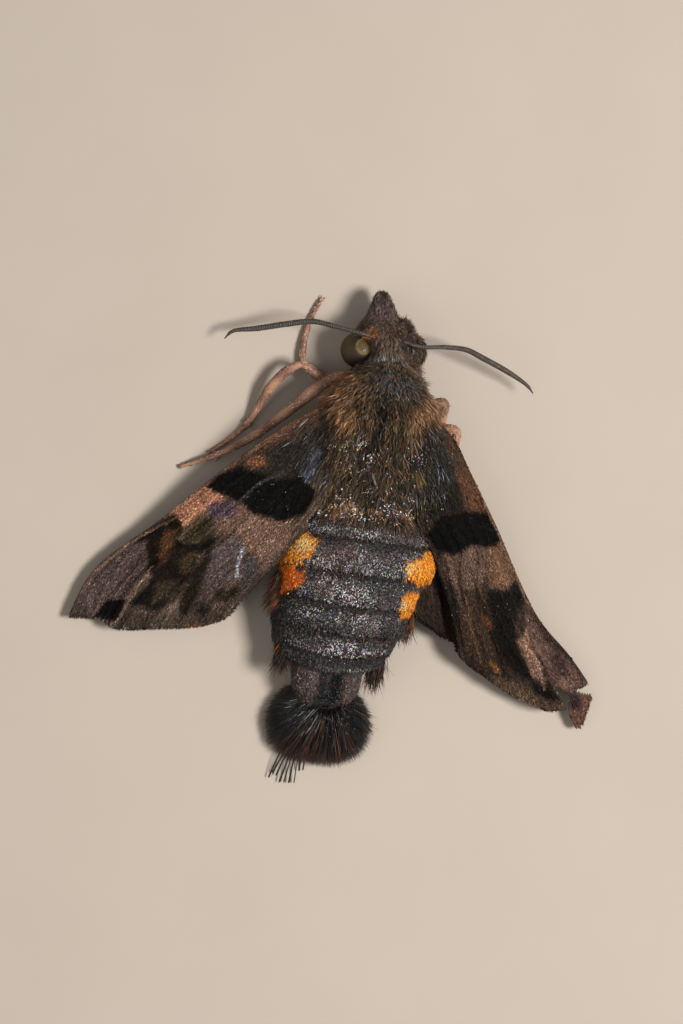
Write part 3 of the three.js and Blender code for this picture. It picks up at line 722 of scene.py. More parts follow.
def makeCoat(name, material, root, lie, out, length, width, lift, tint, home,
             shape=hairShape, curl=0.12, sway=0.0, roll=0.35, sink=0.06, nodes=(), glitter=None):
    # each hair is a thin three-sided spindle: middle line = root + lie * L * t * cos(lift)
    # + out * L * (t * sin(lift) - curl * t²) + side * L * sway * t²; the side edges are half a width away
    count, rings = len(root), len(shape)
    length, width, lift = (np.broadcast_to(v, count)[:, None, None] for v in (length, width, lift))
    side = unit(np.cross(lie, out))
    spin = rng.normal(0, roll, count)[:, None]
    flat = side * np.cos(spin) + out * np.sin(spin)
    ridge = np.cross(flat, lie)
    bend = (rng.normal(0, 1, count) * sway)[:, None, None]
    t = np.array([0.0] + [at for at, _ in shape] + [1.0])[None, :, None]
    line = (root - out * sink)[:, None] + lie[:, None] * (length * t * np.cos(lift))
    line = line + out[:, None] * (length * (t * np.sin(lift) - curl * t * t))
    line = line + side[:, None] * (length * bend * t * t)
    half = np.array([w for _, w in shape])[None, :, None] * width / 2
    middle, flat, ridge = line[:, 1:-1], flat[:, None] * half, ridge[:, None] * half * 0.6
    corners = np.stack([middle - flat, middle + flat, middle + ridge], 2)
    points = np.concatenate([corners.reshape(count, rings * 3, 3), line[:, :1], line[:, -1:]], 1)
    points[..., 2] = np.maximum(points[..., 2], 0.01)
    each = rings * 3 + 2
    ring = np.arange(3)
    after = (ring + 1) % 3
    walls = np.stack([ring, ring + 3, after + 3, after], -1)[None] + 3 * np.arange(rings - 1)[:, None, None]
    walls = walls.reshape(-1, 4)
    last = (rings - 1) * 3
    shut = np.vstack([np.stack([ring, after, np.full(3, each - 2)], -1),
                      np.stack([last + ring, np.full(3, each - 1), last + after], -1)])
    along = np.array([at for at, _ in shape for _ in ring] + [0.0, 1.0])
    spot = np.column_stack([along - 0.5, np.append(np.tile([-0.5, 0.5, 0], rings), [0, 0])]) * 0.003
    triangles = len(walls) * 2 + len(shut)
    perPiece = 196000 // triangles
    for k, start in enumerate(range(0, count, perPiece)):
        part = slice(start, min(start + perPiece, count))
        n = part.stop - part.start
        offsets = (np.arange(n) * each)[:, None, None]
        faces = [(f[None] + offsets).reshape(-1, f.shape[1]) for f in (walls, shut) if len(f)]
        layers = {"tint": np.repeat(tint[part], each, axis=0), "along": np.tile(along, n)}
        if glitter is not None:
            layers["glitter"] = np.repeat(glitter[part], each)
        unwrap = (home[part][:, None] + spot[None]).reshape(-1, 2)
        makePiece(f"{name}_{k + 1}", points[part].reshape(-1, 3), faces, material,
                  nodes if k == 0 else (), layers, unwrap)
    total["coat"] += count * triangles
    print(name, count, "hairs or scales,", count * triangles, "triangles, coat so far", total["coat"])


def vary(tint, spread, rare=()):
    # each hair a little lighter or darker than its place; `rare` turns a share of them another colour
    tint = tint * np.exp(rng.normal(0, spread, len(tint)))[:, None]
    for name, chance in rare:
        tint = np.where((rng.uniform(size=len(tint)) < chance)[:, None], colours[name], tint)
    return np.clip(tint, 0.002, 0.95)


def oneOf(names, count):
    # a colour picked for each of a number of scales
    tones = np.array([colours[name] for name in names])
    return tones[rng.integers(0, len(tones), count)]


thoraxFur = {
    "count": 26500, "length": 1.3, "width": 0.06, "lift": 0.48, "clump": 0.7, "clumpSize": 0.4,
    "rare": [("darkOlive", 0.14), ("ginger", 0.05), ("grey", 0.05), ("paleGrey", 0.012)],
    # loose pale scales: place, turn, angle to the lie of the fur, length and width
    "blades": [(2.7, 0.12, -0.5, 1.25, 0.24), (5.0, -0.2, -1.3, 1.0, 0.16), (0.3, 0.42, 0.1, 0.9, 0.2),
               (1.6, 0.5, -0.6, 0.8, 0.2), (3.4, 0.6, 0.3, 0.7, 0.12), (4.3, -0.28, 0.1, 0.75, 0.14),
               (3.4, -0.62, 0.0, 1.0, 0.1), (4.4, -0.75, 0.2, 0.9, 0.1), (2.4, 1.0, 0.5, 1.0, 0.14),
               (3.0, 0.85, 0.4, 0.8, 0.12), (5.2, 0.1, 0.4, 0.7, 0.12)],
}
thoraxGlitter = {
    "tries": 5200, "middle": (1.1, 1.7), "half": (0.9, 1.0), "height": 0.3,
    # pale tints that paint glints
    "length": (0.09, 0.26), "width": (0.05, 0.09), "colours": ("white", "blueWhite", "pink", "grey", "cream"),
}
headFur = {
    "count": 14000, "length": 0.66, "width": 0.042, "lift": 0.42,
    "rare": [("paleGrey", 0.03), ("blackBrown", 0.12), ("brown", 0.08)],
}
eyeHair = {
    # hair pressed over the upper half of the right eye
    "tries": 2400, "lie": (-0.35, 0.9, -0.2), "length": 0.62, "width": 0.045, "lift": 0.35,
    "rare": [("blackBrown", 0.15), ("ginger", 0.06), ("paleGrey", 0.03)],
}
brows = {
    # longer hair over the right eye and a short rim round the left one: side, count, places along the body,
    # turns round it, length and lift
    "brow1": (-1, 1500, (-7.7, -5.0), (0.75, 1.25), 1.2, 0.75),
    "brow2": (1, 300, (-6.9, -5.1), (0.3, 0.45), 0.3, 0.4),
    "brow3": (-1, 1000, (-5.8, -4.6), (1.0, 1.8), 1.35, 0.85),
}
abdomenCoat = {
    "count": 35000, "length": 0.25, "width": 0.12, "lift": 0.15,
    "rare": [("redBrown", 0.07), ("black", 0.2)],
    # pale tints that paint glints
    "bright": ("white", "blueWhite", "blueWhite", "pink", "teal", "grey"),
    # places in plan with little glitter, and their sizes
    "bare": [((1.4, 8.0), (1.4, 1.6)), ((-1.8, 8.3), (1.9, 0.8)), ((-2.4, 11.0), (1.8, 0.9)),
             ((2.9, 14.2), (1.8, 1.4)), ((-3.2, 13.6), (1.6, 1.9)), ((-2.6, 6.6), (1.4, 0.8)),
             ((0.4, 13.9), (2.4, 0.5))],
}
rearFringe = {"count": 5500, "length": 0.6, "width": 0.05, "rare": [("grey", 0.12), ("rust", 0.06)]}


def flow(s, turn, p, back, around):
    # the lie of the coat: to the tail, spreading from the midline, with slow swirls that grow to the rear of
    # the thorax; forwards on the snout
    matted = 0.25 + 0.5 * smooth(s, 0.5, 3.0) * (1 - smooth(s, 5.5, 6.5))
    sweep = 0.3 * np.sin(turn) + matted * ripple(p, 1.5, 21) + 0.5 * matted * ripple(p, 0.5, 22)
    lie = turned(back, around, sweep)
    return np.where((s + 0.6 * ripple(p, 0.35, 23) < -8.2)[:, None], -lie, lie)


def clumped(p, lie, length, size, pull):
    # hairs lean towards the middle of the clump that they belong to
    cell = np.floor(p / size + 0.35 * np.column_stack([ripple(p, 1.0, k) for k in (31, 32, 33)]))
    _, which = np.unique(cell, axis=0, return_inverse=True)
    which = which.ravel()
    middle = np.column_stack([np.bincount(which, p[:, k]) for k in range(3)]) / np.bincount(which)[:, None]
    return unit(lie + pull * (middle[which] - p) / np.asarray(length)[:, None])


def makeThoraxFur():
    s, turn = scatter(thoraxFur["count"], (-5.2, 6.1), (-2.3, 2.3), lambda s,
                      turn: 1.0 - 0.55 * (np.abs(turn) > 1.75))
    p, back, around, out = bodyFrame(s, turn)
    size = 0.62 + 0.38 * smooth(s, -4.8, -2.5) - 0.12 * smooth(s, 1.0, 4.0)
    length = thoraxFur["length"] * size * about(0.55, 1.2, s)
    lie = clumped(p, flow(s, turn, p, back, around), length, thoraxFur["clumpSize"], thoraxFur["clump"])
    lie = ruffled(lie, 0.1)
    lift = thoraxFur["lift"] * about(0.3, 1.4, s) * (1 - 0.5 * smooth(s, 3.5, 5.5))
    tint = bodyTint(s, turn, p) * np.exp(0.12 + 0.45 * ripple(p, 0.32, 27))[:, None]
    tint = vary(tint, 0.4, thoraxFur["rare"])
    finish = coatFinish("thoraxFur", 0.5, 0.25, 0.25)
    makeCoat("thoraxFur", finish, p, lie, out, length, thoraxFur["width"],
             lift, tint, bodyHome(s, turn), sway=0.16)
    # glitter: bare bright scales on the rear of the back, glossy, whose pale tints paint their glints
    g = thoraxGlitter
    s, turn = scatter(g["tries"], (0.2, 6.2), (-0.95, 1.1))
    p, back, around, out = bodyFrame(s, turn)
    near = hump(oval(p[:, :2], g["middle"], g["half"]), 0, 1) + 0.3 * smooth(s, 4.4, 5.8) + 0.18
    keep = rng.uniform(size=len(s)) < near * smooth(ripple(p, 0.9, 51), -0.2, 0.5)
    s, turn, p, back, around, out = picked(keep, s, turn, p, back, around, out)
    lie = turned(back, around, about(-1.2, 1.2, s))
    tint = vary(oneOf(g["colours"], len(s)), 0.3)
    makeCoat("thoraxGlitter", coatFinish("glitter", 0.25, 0.8, 0.9), p + out * g["height"], lie,
             out, about(*g["length"], s), about(*g["width"], s), 0.1, tint, bodyHome(s, turn),
             shape=scaleShape, curl=0.0, sink=0.0)
    # single long pale scales that lie loose in the fur
    s, turn, spin, length, width = np.array(thoraxFur["blades"]).T
    p, back, around, out = bodyFrame(s, turn)
    makeCoat("thoraxBlades", finish, p + out * 0.42, turned(back, around, spin), out, length,
             width, 0.03, vary(plain("grey", len(s)) * 1.5, 0.25), bodyHome(s, turn), shape=longShape,
             sink=0.0)


def makeHeadFur():
    h = headFur
    s, turn = scatter(h["count"], (-9.9, -4.7), (-math.pi, math.pi), lambda s,
                      turn: 1.0 - 0.5 * (np.abs(turn) > 2))
    p, back, around, out = bodyFrame(s, turn)
    eyes = np.array([eyePlace(1), eyePlace(-1)])
    clear = np.min(np.linalg.norm(p[:, None] - eyes[None], axis=2), axis=1) > eye["radius"] * 0.98
    s, turn, p, back, around, out = picked(clear, s, turn, p, back, around, out)
    length = h["length"] * about(0.5, 1.2, s) * (0.5 + 0.5 * smooth(s, -9.6, -7))
    length = length * (1 + 0.5 * smooth(s, -5.6, -4.9))
    lie = ruffled(clumped(p, flow(s, turn, p, back, around), length, 0.3, 0.5), 0.14)
    tint = 1.55 * bodyTint(s, turn, p) * np.exp(0.25 * ripple(p, 0.25, 28))[:, None]
    tint = vary(tint, 0.4, h["rare"])
    finish = coatFinish("headFur", 0.55, 0.3, 0.35)
    makeCoat("headFur", finish, p, lie, out, length, h["width"], h["lift"] * about(0.3, 1.5, s),
             tint, bodyHome(s, turn), curl=0.1, sway=0.14, sink=0.04)
    h = eyeHair
    way = unit(rng.normal(0, 1, (h["tries"], 3)))
    way = way[(way[:, 2] > -0.15) & (way[:, 0] < 0.5)]
    lie = unit(np.array(h["lie"]) + rng.normal(0, 0.22, way.shape))
    lie = unit(lie - way * np.einsum("ij,ij->i", lie, way)[:, None])
    root = eyePlace(-1) + way * (eye["radius"] + 0.03)
    spot = np.full(len(way), -6.2) + way[:, 1], np.full(len(way), -0.9) + way[:, 0] * 0.3
    tint = vary(bodyTint(*spot, bodyPoint(*spot)), 0.4, h["rare"])
    makeCoat("eyeHair", finish, root, lie, way, h["length"] * about(0.5, 1.2, way), h["width"],
             h["lift"] * about(0.3, 1.4, way), tint, bodyHome(*spot), curl=0.2, sway=0.14, sink=0.03)
    for name, (side, count, (front, rear), (low, high), reach, lift) in brows.items():
        s = rng.uniform(front, rear, count)
        turn = side * rng.uniform(low, high, count)
        p, back, around, out = bodyFrame(s, turn)
        share = rng.uniform(0.4, 1.0, count)[:, None]
        lie = around * side * share + back * (1.1 - share) * np.sign(s + 6.9)[:, None]
        lie = ruffled(lie, 0.15)
        tint = vary(1.3 * bodyTint(s, turn, p), 0.35, h["rare"][:2])
        makeCoat(name, finish, p, lie, out, reach * about(0.5, 1.1, s), 0.05,
                 lift * about(0.6, 1.2, s), tint, bodyHome(s, turn), curl=0.35, sway=0.1, sink=0.04)


def makeAbdomenScales():
    s, turn = scatter(abdomenCoat["count"], (5.6, 19.7), (-2.2, 2.2), lambda s,
                      turn: 1.0 - 0.5 * (np.abs(turn) > 1.7))
    p, back, around, out = bodyFrame(s, turn)
    phase = ringPhase(s)
    side = np.abs(np.degrees(turn))
    size = 1 + 0.35 * smooth(phase, 0.72, 0.98) + 0.4 * smooth(side, 60, 85) + 0.2 * smooth(s, 17.2, 18.6)
    length = abdomenCoat["length"] * size * about(0.7, 1.25, s)
    width = abdomenCoat["width"] * about(0.6, 1.2, s) * (1 - 0.3 * smooth(side, 60, 85))
    lie = turned(back, around, 0.25 * np.sin(turn) + rng.normal(0, 0.35, len(s)))
    lift = abdomenCoat["lift"] * about(0.2, 2.6, s)
    ground = bodyTint(s, turn, p)
    orange = isSpot(ground)
    # cold glitter in bands across each ring, strongest left of the middle: glossy scales whose pale tints
    # paint the glints
    band = smooth(phase, 0.12, 0.4) * (1 - 0.35 * smooth(phase, 0.75, 0.95)) * (1 - smooth(side, 48, 62))
    band = band * (0.55 + 0.45 * hump(p[:, 0], 0.8, 2.6)) * (1 - smooth(s, 15.6, 16.1))
    band = band * (0.2 + 0.8 * smooth(ripple(p, 0.8, 61) + 0.7 * ripple(p, 2.0, 67), -0.6, 0.9))
    bare = np.max([hump(oval(p[:, :2], at, half), 0, 1) for at, half in abdomenCoat["bare"]], axis=0)
    band = band * (1 - 0.85 * bare)
    band = band * (1 - 0.3 * smooth(s, 13.2, 14.4) * (1 - smooth(s, 15.2, 15.5)))
    glitter = rng.uniform(size=len(s)) < 0.34 * band + 0.015
    dark = vary(ground, 0.55, abdomenCoat["rare"])
    # painted glints: pale tints for the glitter scales
    shine = vary(oneOf(abdomenCoat["bright"], len(s)), 0.45)
    spots = vary(ground, 0.35, [("brown", 0.1), ("cream", 0.06)])
    tint = np.where(orange[:, None], spots, np.where(glitter[:, None], shine, dark))
    small = np.where(glitter & ~orange, 0.6, 1.0)
    finish = coatFinish("abdomenScales", 0.4, 0.28, 0.6, glitter=True)
    makeCoat("abdomenScales", finish, p, lie, out, length * small, width * np.sqrt(small),
             lift, tint, bodyHome(s, turn), shape=scaleShape, curl=0.05, sway=0.08, roll=0.4, sink=0.02,
             glitter=np.where(orange, 0, np.clip(band * 1.2 + 0.08, 0, 1)))
    # longer hair-scales along the rear edge of each ring, on the flanks and on the spots
    count = rearFringe["count"]
    s, turn = scatter(count * 3, (5.6, 17.0), (-2.0, 2.0))
    phase, side = ringPhase(s), np.abs(np.degrees(turn))
    ground = bodyTint(s, turn, bodyPoint(s, turn))
    want = 0.75 * smooth(phase, 0.8, 0.95) + 0.45 * smooth(side, 66, 84) + 0.6 * isSpot(ground)
    keep = rng.uniform(size=len(s)) < np.clip(want, 0.02, 0.9)
    s, turn, ground = (a[keep][:count] for a in (s, turn, ground))
    p, back, around, out = bodyFrame(s, turn)
    flank = smooth(np.abs(np.degrees(turn)), 60, 85)
    lie = turned(back, around, 0.25 * np.sin(turn) + rng.normal(0, 0.2, len(s)))
    tint = np.where(isSpot(ground)[:, None], vary(ground, 0.25), vary(ground, 0.5, rearFringe["rare"]))
    makeCoat("rearFringe", finish, p, lie, out,
             rearFringe["length"] * about(0.5, 1.2, s) * (1 + 0.1 * flank), rearFringe["width"],
             (0.1 + 0.12 * flank) * about(0.4, 1.6, s), tint, bodyHome(s, turn), curl=0.08, sway=0.12,
             sink=0.03)


# ---- tail fan and side tufts

fan = {
    "count": 6500, "middle": (0.0, 18.5), "width": 0.075, "startHeight": 2.9, "rimHeight": 0.55,
    # how far the fan reaches in each direction, from straight out to the side to straight back
    "reach": [(0, 2.7), (15, 3.6), (33, 4.8), (53, 5.6), (72, 5.65), (90, 5.4)],
    "spikes": [(2.33, 22.9, 3.09, 25.2), (2.06, 23.0, 2.8, 24.85), (1.9, 23.1, 2.54, 25.0),
               (1.74, 23.2, 2.1, 25.5), (1.57, 23.2, 1.78, 25.45), (1.4, 23.3, 1.43, 25.45),
               (1.15, 23.3, 1.06, 25.4), (0.92, 23.3, 0.83, 24.5), (0.65, 23.3, 0.49, 24.4)],
}
sideTufts = {
    # each node's bunch of hair, from its middle to its tips
    "tuft_left_front": ((4.4, 11.5, 3.2), (5.15, 13.1, 2.8)),
    "tuft_left_rear": ((3.4, 14.9, 3.0), (3.7, 17.3, 2.4)),
    "tuft_right_front": ((-4.5, 12.2, 3.2), (-4.9, 13.9, 2.8)),
    "tuft_right_rear": ((-3.0, 15.3, 3.0), (-3.2, 17.7, 2.3)),
}
sideTuft = {"count": 900, "half": (0.28, 0.6, 0.45), "width": 0.05, "lift": 0.08}


def makeFan():
    # long narrow scales that spread from one place under the lobes: each sets out along a ray and ends at a
    # share of the fan's reach on it; the upper ones start high and come down to the thin rim
    count, rim = fan["count"], fan["rimHeight"]
    ray = np.degrees(np.arcsin(rng.uniform(-1, 1, count) * 0.999))
    ray = np.where(rng.uniform(size=count) < 0.35, rng.uniform(-90, 90, count), ray)
    spread = 90 - np.abs(ray)
    edge = np.interp(spread, *np.array(fan["reach"]).T)
    deep = rng.uniform(0, 1, count) ** 1.3
    ends = rng.uniform(0.2, 0.62, count) * edge, edge * rng.uniform(0.82, 1.02, count)
    way = np.column_stack([np.sin(np.radians(ray)), np.cos(np.radians(ray))])
    root, tip = (
        np.column_stack([
            fan["middle"] + way * at[:, None],
            rim + (fan["startHeight"] - rim) * (1 - (at / edge) ** 1.4) * (1 - deep) + 0.25 * (1 - deep),
        ]) for at in ends
    )
    gone = tip - root
    length = np.linalg.norm(gone, axis=1)
    lie = unit(gone + rng.normal(0, 0.05, gone.shape) * length[:, None])
    far = smooth(ends[1] / edge, 0.9, 1.0) * (rng.uniform(size=count) < 0.6)
    ground = stir(
        plain("black", count),
        ("chestnut", 0.8 * smooth(spread, 50, 75) * (deep > 0.45)),
        ("chestnut", 0.8 * smooth(spread, 45, 70) * far),
    )
    tint = vary(ground, 0.5, [("grey", 0.06)])
    # painted highlight: pale grey scales on the left of the fan stand for the gloss along its hair
    pale = rng.uniform(size=count) < (0.01 + 0.14 * smooth(ray, 5, 40)) * (deep < 0.6)
    tint = np.where(pale[:, None], colours["paleGrey"] * rng.uniform(0.5, 1.2, (count, 1)), tint)
    length = np.where(pale, length * rng.uniform(0.3, 0.6, count), length)
    home = np.column_stack([0.02 + 0.96 * (ray + 90) / 180, 0.02 + 0.9 * deep])
    finish = coatFinish("tailHair", 0.3, 0.6, 0.5)
    makeCoat("fan", finish, root, lie, above(lie), length,
             fan["width"] * rng.uniform(0.5, 1.25, count), 0.04, tint, home, curl=0.04, sway=0.06, roll=0.6,
             sink=0.0)
    # a few long blunt scales that stand apart at the left of the rear edge
    spikes = np.array(fan["spikes"])
    count = len(spikes)
    root = np.column_stack([spikes[:, :2], np.full(count, 0.9)])
    gone = np.column_stack([spikes[:, 2:], np.full(count, 0.4)]) - root
    lie = unit(gone)
    home = np.column_stack([0.1 * np.arange(count) + 0.05, np.full(count, 0.97)])
    makeCoat("fanSpikes", finish, root, lie, above(lie), np.linalg.norm(gone, axis=1), 0.14, 0.0,
             vary(plain("blackBrown", count), 0.15), home, shape=bluntShape, curl=0.0, sway=0.03)


def makeSideTufts():
    # bunches of hair on the flanks, dark with rusty tips
    count = sideTuft["count"]
    for k, (name, (start, end)) in enumerate(sideTufts.items()):
        start, end = np.array(start), np.array(end)
        spread = np.clip(rng.normal(0, 1, (count, 3)), -1.8, 1.8) * sideTuft["half"]
        root = start + spread
        root[:, 2] = np.maximum(root[:, 2], 0.5)
        tip = start + (end - start) * rng.uniform(0.45, 1.05, (count, 1)) + spread * 0.9
        gone = tip + rng.normal(0, 0.12, (count, 3)) - root
        lie = unit(gone)
        front = 0.25 * ("front" in name)
        tint = vary(plain("blackBrown", count), 0.4, [
            ("brown", 0.2 + front), ("rust", 0.08 + front), ("redOrange", 0.02), ("grey", 0.08)])
        home = np.column_stack([0.25 * k + 0.02 + 0.2 * rng.uniform(size=count),
                                rng.uniform(0.02, 0.98, count)])
        makeCoat(name, coatFinish(name, 0.5, 0.35, 0.6), root, lie, above(lie),
                 np.linalg.norm(gone, axis=1), sideTuft["width"], sideTuft["lift"], tint, home, sway=0.14,
                 nodes=(name,))


# ---- eyes

def makeEyes():
    # a ball with a painted glow: a pale patch of eyeshine round the way it looks, brightest at its rim, and
    # more of the glow on its outer side
    material = eyeFinish()
    rows, columns, size = eye["rows"], eye["columns"], eye["glowHalf"]
    for name, side in (("eye_left", 1), ("eye_right", -1)):
        down = np.repeat(np.linspace(0.03, math.pi - 0.03, rows), columns)
        turn = np.tile(rounds(columns), rows)
        ball = np.stack([np.sin(down) * np.cos(turn), np.sin(down) * np.sin(turn), np.cos(down)], -1)
        ball = np.vstack([ball, [[0, 0, 1], [0, 0, -1]]])
        off = np.linalg.norm(ball - unit(np.array(eye["glowLook"]) * (side, 1, 1)), axis=1)
        # painted glow: eyeshine inside the patch, brightest in a ring at its rim, more on the eye's outer
        # side
        paintedGlow = 0.32 * (1 - smooth(off, size * 0.85, size)) + 0.5 * hump(off, size * 0.9, 0.06)
        paintedGlow = paintedGlow + 0.2 * smooth(ball[:, 0] * side, 0.3, 0.95)
        points = eyePlace(side) + ball * eye["radius"]
        faces = outward(points, tubeFaces(rows, columns))
        makePiece(name + "_dome", points, faces, material, (name,), {"paintedGlow": paintedGlow})


# ---- wings

wingEdges = {
    "forewing_left": {
        "lead": [(2.0, -2.6, 6.0), (5.9, 0.3, 4.4), (9.3, 3.6, 3.1), (13.5, 8.2, 1.8), (17.5, 12.3, 1.0),
                 (18.9, 16.0, 0.7)],
        "trail": [(1.8, 2.4, 7.0), (3.6, 6.2, 6.5), (5.5, 9.8, 4.8), (6.6, 11.6, 3.6), (7.9, 14.4, 2.2)],
        "tip": [(18.9, 16.0, 0.7), (16.6, 15.8, 1.0), (15.6, 16.25, 1.2), (12.4, 15.8, 1.6), (9.6, 15.2, 1.9),
                (7.9, 14.4, 2.2)],
        "arch": 0.35, "fold": 0.09, "rows": 210, "columns": 100, "tears": [],
    },
    "forewing_right": {
        "lead": [(-2.6, -2.6, 5.8), (-5.9, -0.3, 4.6), (-7.6, 1.8, 3.8), (-10.1, 5.1, 2.9),
                 (-14.5, 11.3, 1.6), (-17.5, 13.9, 1.1), (-19.8, 16.3, 0.8)],
        "trail": [(-2.4, 2.4, 6.9), (-3.95, 6.3, 6.2), (-5.2, 7.7, 5.4), (-6.0, 9.0, 4.7), (-7.2, 11.0, 3.8),
                  (-8.4, 13.5, 2.7), (-8.9, 14.8, 2.2)],
        "tip": [(-19.8, 16.3, 0.8), (-19.1, 19.0, 0.5), (-17.7, 17.8, 1.0), (-16.4, 18.0, 1.2),
                (-13.7, 17.3, 1.5), (-11.0, 16.05, 1.8), (-8.9, 14.8, 2.2)],
        "arch": 1.1, "fold": 0.2, "rows": 210, "columns": 100,
        "tears": [
            [(-18.0, 16.4), (-19.1, 15.5), (-20.5, 15.2), (-20.5, 16.2), (-18.6, 16.4)],
            [(-16.3, 16.0), (-17.2, 16.2), (-17.8, 16.7), (-18.0, 17.6), (-18.0, 19.0), (-17.7, 19.0),
             (-17.6, 17.6)],
        ],
    },
    "hindwing_left": {
        "lead": [(2.8, -0.2, 4.6), (8.8, 5.4, 2.1), (12.4, 10.2, 0.9)],
        "trail": [(2.6, 3.0, 5.0), (5.0, 9.0, 3.8), (6.9, 12.7, 1.8)],
        "tip": [(12.4, 10.2, 0.9), (11.4, 12.4, 0.8), (9.4, 13.0, 1.0), (6.9, 12.7, 1.8)],
        "arch": 0.2, "fold": 0.1, "rows": 100, "columns": 60, "tears": [],
    },
    "hindwing_right": {
        "lead": [(-3.4, -0.2, 4.4), (-9.0, 6.2, 2.1), (-12.8, 11.2, 0.9)],
        "trail": [(-3.0, 4.0, 4.8), (-4.7, 9.0, 3.8), (-5.1, 12.3, 2.6)],
        "tip": [(-12.8, 11.2, 0.9), (-12.0, 14.0, 1.0), (-8.6, 13.9, 1.3), (-5.1, 12.3, 2.6)],
        "arch": 0.65, "fold": 0.16, "rows": 100, "columns": 60, "tears": [],
    },
}
membrane = {
    "size": (24.0, 11.0), "thickness": 0.11, "leadThickness": 0.26, "veinHeight": 0.07, "veinHalf": 0.11,
    "margin": 0.015, "archStart": 0.15, "archSpan": 0.75,
}
